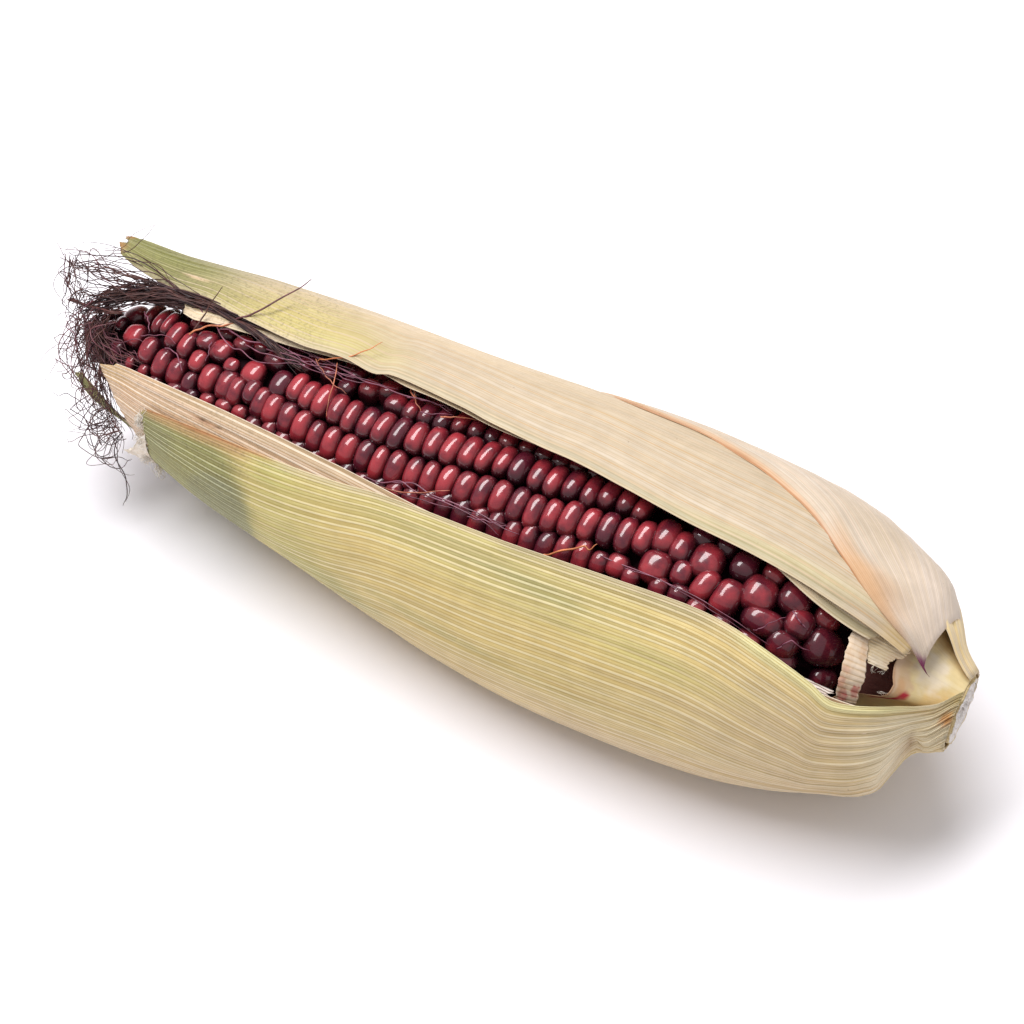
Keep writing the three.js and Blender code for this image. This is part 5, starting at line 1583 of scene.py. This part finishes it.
def silk_material(silk):
    """Dry silk, from near black through brown to orange."""
    material, t, shader = new_material("Silk")
    place = t.place()
    shade = t.split(attribute(t, "shade")["Vector"])
    ramp = t.add("ShaderNodeValToRGB", {0: shade[0]})
    stops = [
        (0.0, silk.dark), (0.35, silk.brown), (0.62, silk.purple), (0.8, silk.purple),
        (1.0, silk.orange),
    ]
    bar = ramp.color_ramp
    while len(bar.elements) < len(stops):
        bar.elements.new(0.5)
    for element, (position, colour) in zip(bar.elements, stops):
        element.position = position
        element.color = (*colour, 1)
    worn = t.ease(t.noise(place, 400.0, 3.0), 0.35, 0.7, 0.7, 1.35)
    grey = t.colour(worn, worn, worn)
    t.feed(shader["Base Color"], t.mix(1.0, ramp.outputs[0], grey, "MULTIPLY"))
    t.feed(shader["Roughness"], t.ease(shade[2], 0.0, 1.0, 0.35, 0.55))
    return material


# ---- settings -----------------------------------------------------------------------------
def colour_property(name, description, colour):
    return bpy.props.FloatVectorProperty(
        name=name, description=description, default=tuple(chart(colour)), subtype="COLOR", size=3,
        min=0.0, max=1.0
    )


def length_property(name, description, default):
    return bpy.props.FloatProperty(
        name=name, description=description, default=default, min=0.0,
        unit="LENGTH", subtype="DISTANCE",
    )


def factor_property(name, description, default):
    return bpy.props.FloatProperty(
        name=name, description=description, default=default, min=0, max=1, subtype="FACTOR"
    )


class HuskSettings(bpy.types.PropertyGroup):
    thickness: length_property(
        "Leaf thickness", "Thickness of a husk leaf away from its edges", 0.00045
    )
    layer_pitch: length_property("Layer pitch", "From one husk layer to the next", 0.00135)
    inner_share: factor_property(
        "Inner paleness", "How far the inner side goes to its own colour", 0.6
    )
    vein_share: factor_property("Vein strength", "How strongly veins show over the leaf", 0.85)
    weathering: factor_property("Weathering", "Dark mottling at the tips", 0.7)


class KernelSettings(bpy.types.PropertyGroup):
    pitch: length_property("Pitch", "From one kernel to the next along a row", 0.0043)
    width: length_property("Width", "Width of a kernel across its row", 0.0094)
    plumpness: bpy.props.FloatProperty(
        name="Plumpness", description="How closely the kernels crowd each other", default=1.13,
        min=0.5, max=1.3
    )
    breadth: bpy.props.FloatProperty(
        name="Breadth", description="How far the kernels reach across to the next row", default=1.1,
        min=0.5, max=1.5
    )
    seed: bpy.props.IntProperty(
        name="Seed", description="Chooses another set of kernels", default=21
    )
    deep: colour_property("Deep red", "Colour of the darker kernels", (86, 24, 40))
    bright: colour_property("Bright red", "Colour of the brighter kernels", (167, 51, 60))
    # The edge colour is painted shade, which the material lays down a kernel's sides and at its
    # ends.
    edge: colour_property("Edge", "Colour down the sides of a kernel", (34, 10, 19))


class SilkSettings(bpy.types.PropertyGroup):
    strand: length_property("Strand", "Thickness of a strand", 0.00032)
    seed: bpy.props.IntProperty(
        name="Seed", description="Chooses another lie of the silk", default=4
    )
    dark: colour_property("Dark", "The darkest strands", (46, 24, 32))
    brown: colour_property("Brown", "Brown strands", (96, 58, 50))
    purple: colour_property("Purple", "Strands over the kernels", (128, 74, 92))
    orange: colour_property("Orange", "Dry orange strands", (214, 128, 74))


class StageSettings(bpy.types.PropertyGroup):
    floor_side: length_property("Floor", "Side of the floor", 6.0)
    floor_colour: colour_property("Floor colour", "Colour of the floor", (249, 246, 251))
    azimuth: bpy.props.FloatProperty(
        name="Camera azimuth", description="Around the ear from the near side",
        default=np.radians(29.5), subtype="ANGLE"
    )
    elevation: bpy.props.FloatProperty(
        name="Camera elevation", description="Over the floor", default=np.radians(50),
        subtype="ANGLE"
    )
    distance: length_property("Camera distance", "From the ear's axis to the camera", 0.56)
    lens: bpy.props.FloatProperty(
        name="Lens", description="Focal length on a 36 mm sensor", default=85.0, unit="CAMERA"
    )
    key_power: bpy.props.FloatProperty(
        name="Key light", description="Power of the soft box", default=13.0, unit="POWER"
    )
    fill: bpy.props.FloatProperty(
        name="Fill", description="Strength of the light from all around", default=0.5, min=0
    )


# ---- operators ----------------------------------------------------------------------------
class CORN_OT_husk(bpy.types.Operator):
    """Adds the seven husk leaves and the torn bits at the foot of the ear"""

    bl_idname = "corn.husk"
    bl_label = "Husk"

    def execute(self, context):
        husk = context.scene.corn_husk
        fibres, specks = leaf_fibres_group(), specks_group()
        made = {
            kind: husk_material(kind.replace("_", " ").capitalize(), fibres, specks, husk, *numbers)
            for kind, numbers in HUSK_KINDS.items()
        }
        for name, leaf in LEAVES.items():
            build_leaf(name, leaf, husk, made[leaf["slot"]])
        for name, strip in TORN_PIECES.items():
            build_torn(name, strip, husk, made[strip.get("kind", strip["slot"])])
        build_fuzz(pale_fibre_material())
        return {"FINISHED"}


class CORN_OT_kernels(bpy.types.Operator):
    """Adds the rows of kernels"""

    bl_idname = "corn.kernels"
    bl_label = "Kernels"

    def execute(self, context):
        kernels = context.scene.corn_kernels
        skin = kernel_material(kernels, bpy.data.node_groups["Specks"])
        for row, found in enumerate(all_kernels(kernels)):
            build_kernels(row, found, kernels, skin)
        return {"FINISHED"}


class CORN_OT_cob(bpy.types.Operator):
    """Adds the cob and the cut stem"""

    bl_idname = "corn.cob"
    bl_label = "Cob and stem"

    def execute(self, context):
        build_cob(cob_material())
        build_stem(stem_material(bpy.data.node_groups["Specks"]))
        return {"FINISHED"}


class CORN_OT_silk(bpy.types.Operator):
    """Adds the silk"""

    bl_idname = "corn.silk"
    bl_label = "Silk"

    def execute(self, context):
        silk = context.scene.corn_silk
        build_silk(silk, silk_material(silk))
        return {"FINISHED"}


class CORN_OT_stage(bpy.types.Operator):
    """Adds the floor, the lights and the camera"""

    bl_idname = "corn.stage"
    bl_label = "Stage"

    def execute(self, context):
        stage = context.scene.corn_stage
        add_floor(stage)
        add_lights(context.scene, stage)
        add_camera(context.scene, stage)
        return {"FINISHED"}


def add_floor(stage):
    """A pale floor under the ear."""
    half = stage.floor_side / 2
    mesh = bpy.data.meshes.new("floor")
    corners = [(-half, -half, 0), (half, -half, 0), (half, half, 0), (-half, half, 0)]
    mesh.from_pydata(corners, [], [(0, 1, 2, 3)])
    material, t, shader = new_material("Floor")
    place = t.place()
    light, dark = (*stage.floor_colour, 1), (*(c * 0.985 for c in stage.floor_colour), 1)
    paint = t.mix(t.ease(t.noise(place, 40.0, 3.0), 0.3, 0.7), light, dark)
    t.feed(shader["Base Color"], paint)
    shader["Roughness"].default_value = 0.9
    shader["Specular IOR Level"].default_value = 0.1
    mesh.materials.append(material)
    floor = bpy.data.objects.new("floor", mesh)
    bpy.context.scene.collection.objects.link(floor)


SOFT_BOX_SIZE = (1.15, 0.36)  # this and the places are in metres
SOFT_BOX_PLACE, SOFT_BOX_TARGET = (-0.3, 0.1, 0.95), (0, 0, 0.03)
SENSOR_WIDTH = 36.0  # in millimetres


def aimed(thing, place, target):
    """Puts a lamp or the camera at a place, facing a target."""
    thing.location = place
    thing.rotation_euler = (Vector(target) - Vector(place)).to_track_quat("-Z", "Y").to_euler()


def add_lights(scene, stage):
    """A white world and one soft box."""
    world = bpy.data.worlds.new("Studio")
    world.use_nodes = True
    background = world.node_tree.nodes["Background"]
    background.inputs["Color"].default_value = (1, 1, 1, 1)
    background.inputs["Strength"].default_value = stage.fill
    scene.world = world
    key = bpy.data.lights.new("Soft box", "AREA")
    key.shape = "RECTANGLE"
    key.size, key.size_y = SOFT_BOX_SIZE
    key.energy = stage.key_power
    lamp = bpy.data.objects.new("Soft box", key)
    scene.collection.objects.link(lamp)
    aimed(lamp, SOFT_BOX_PLACE, SOFT_BOX_TARGET)


def add_camera(scene, stage):
    """A camera that faces the ear's middle."""
    a, e = stage.azimuth, stage.elevation
    away = np.array([np.sin(a) * np.cos(e), -np.cos(a) * np.cos(e), np.sin(e)])
    target = np.array([0, 0, AXIS_HEIGHT * MM])
    data = bpy.data.cameras.new("Camera")
    data.lens = stage.lens
    data.sensor_width = SENSOR_WIDTH
    camera = bpy.data.objects.new("Camera", data)
    scene.collection.objects.link(camera)
    aimed(camera, tuple(target + away * stage.distance), tuple(target))
    scene.camera = camera
    scene.view_settings.view_transform = "Standard"


class CORN_PT_panel(bpy.types.Panel):
    """Lists the ear's pieces and their settings"""

    bl_label = "Ear of corn"
    bl_idname = "CORN_PT_panel"
    bl_space_type = "VIEW_3D"
    bl_region_type = "UI"
    bl_category = "Corn"

    def draw(self, context):
        for operator in OPERATORS:
            self.layout.operator(operator.bl_idname)
        for key, group in SETTINGS.items():
            box = self.layout.box()
            for name in group.__annotations__:
                box.prop(getattr(context.scene, key), name)


SETTINGS = {
    "corn_husk": HuskSettings,
    "corn_kernels": KernelSettings,
    "corn_silk": SilkSettings,
    "corn_stage": StageSettings,
}
OPERATORS = (CORN_OT_stage, CORN_OT_husk, CORN_OT_kernels, CORN_OT_cob, CORN_OT_silk)


def register():
    for item in (*SETTINGS.values(), *OPERATORS, CORN_PT_panel):
        bpy.utils.register_class(item)
    for key, group in SETTINGS.items():
        setattr(bpy.types.Scene, key, bpy.props.PointerProperty(type=group))


def unregister():
    for key in SETTINGS:
        delattr(bpy.types.Scene, key)
    for item in (CORN_PT_panel, *OPERATORS, *SETTINGS.values()):
        bpy.utils.unregister_class(item)


def main():
    register()
    for operator in OPERATORS:
        area, name = operator.bl_idname.split(".")
        getattr(getattr(bpy.ops, area), name)()
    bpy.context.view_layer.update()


if __name__ == "__main__":
    main()
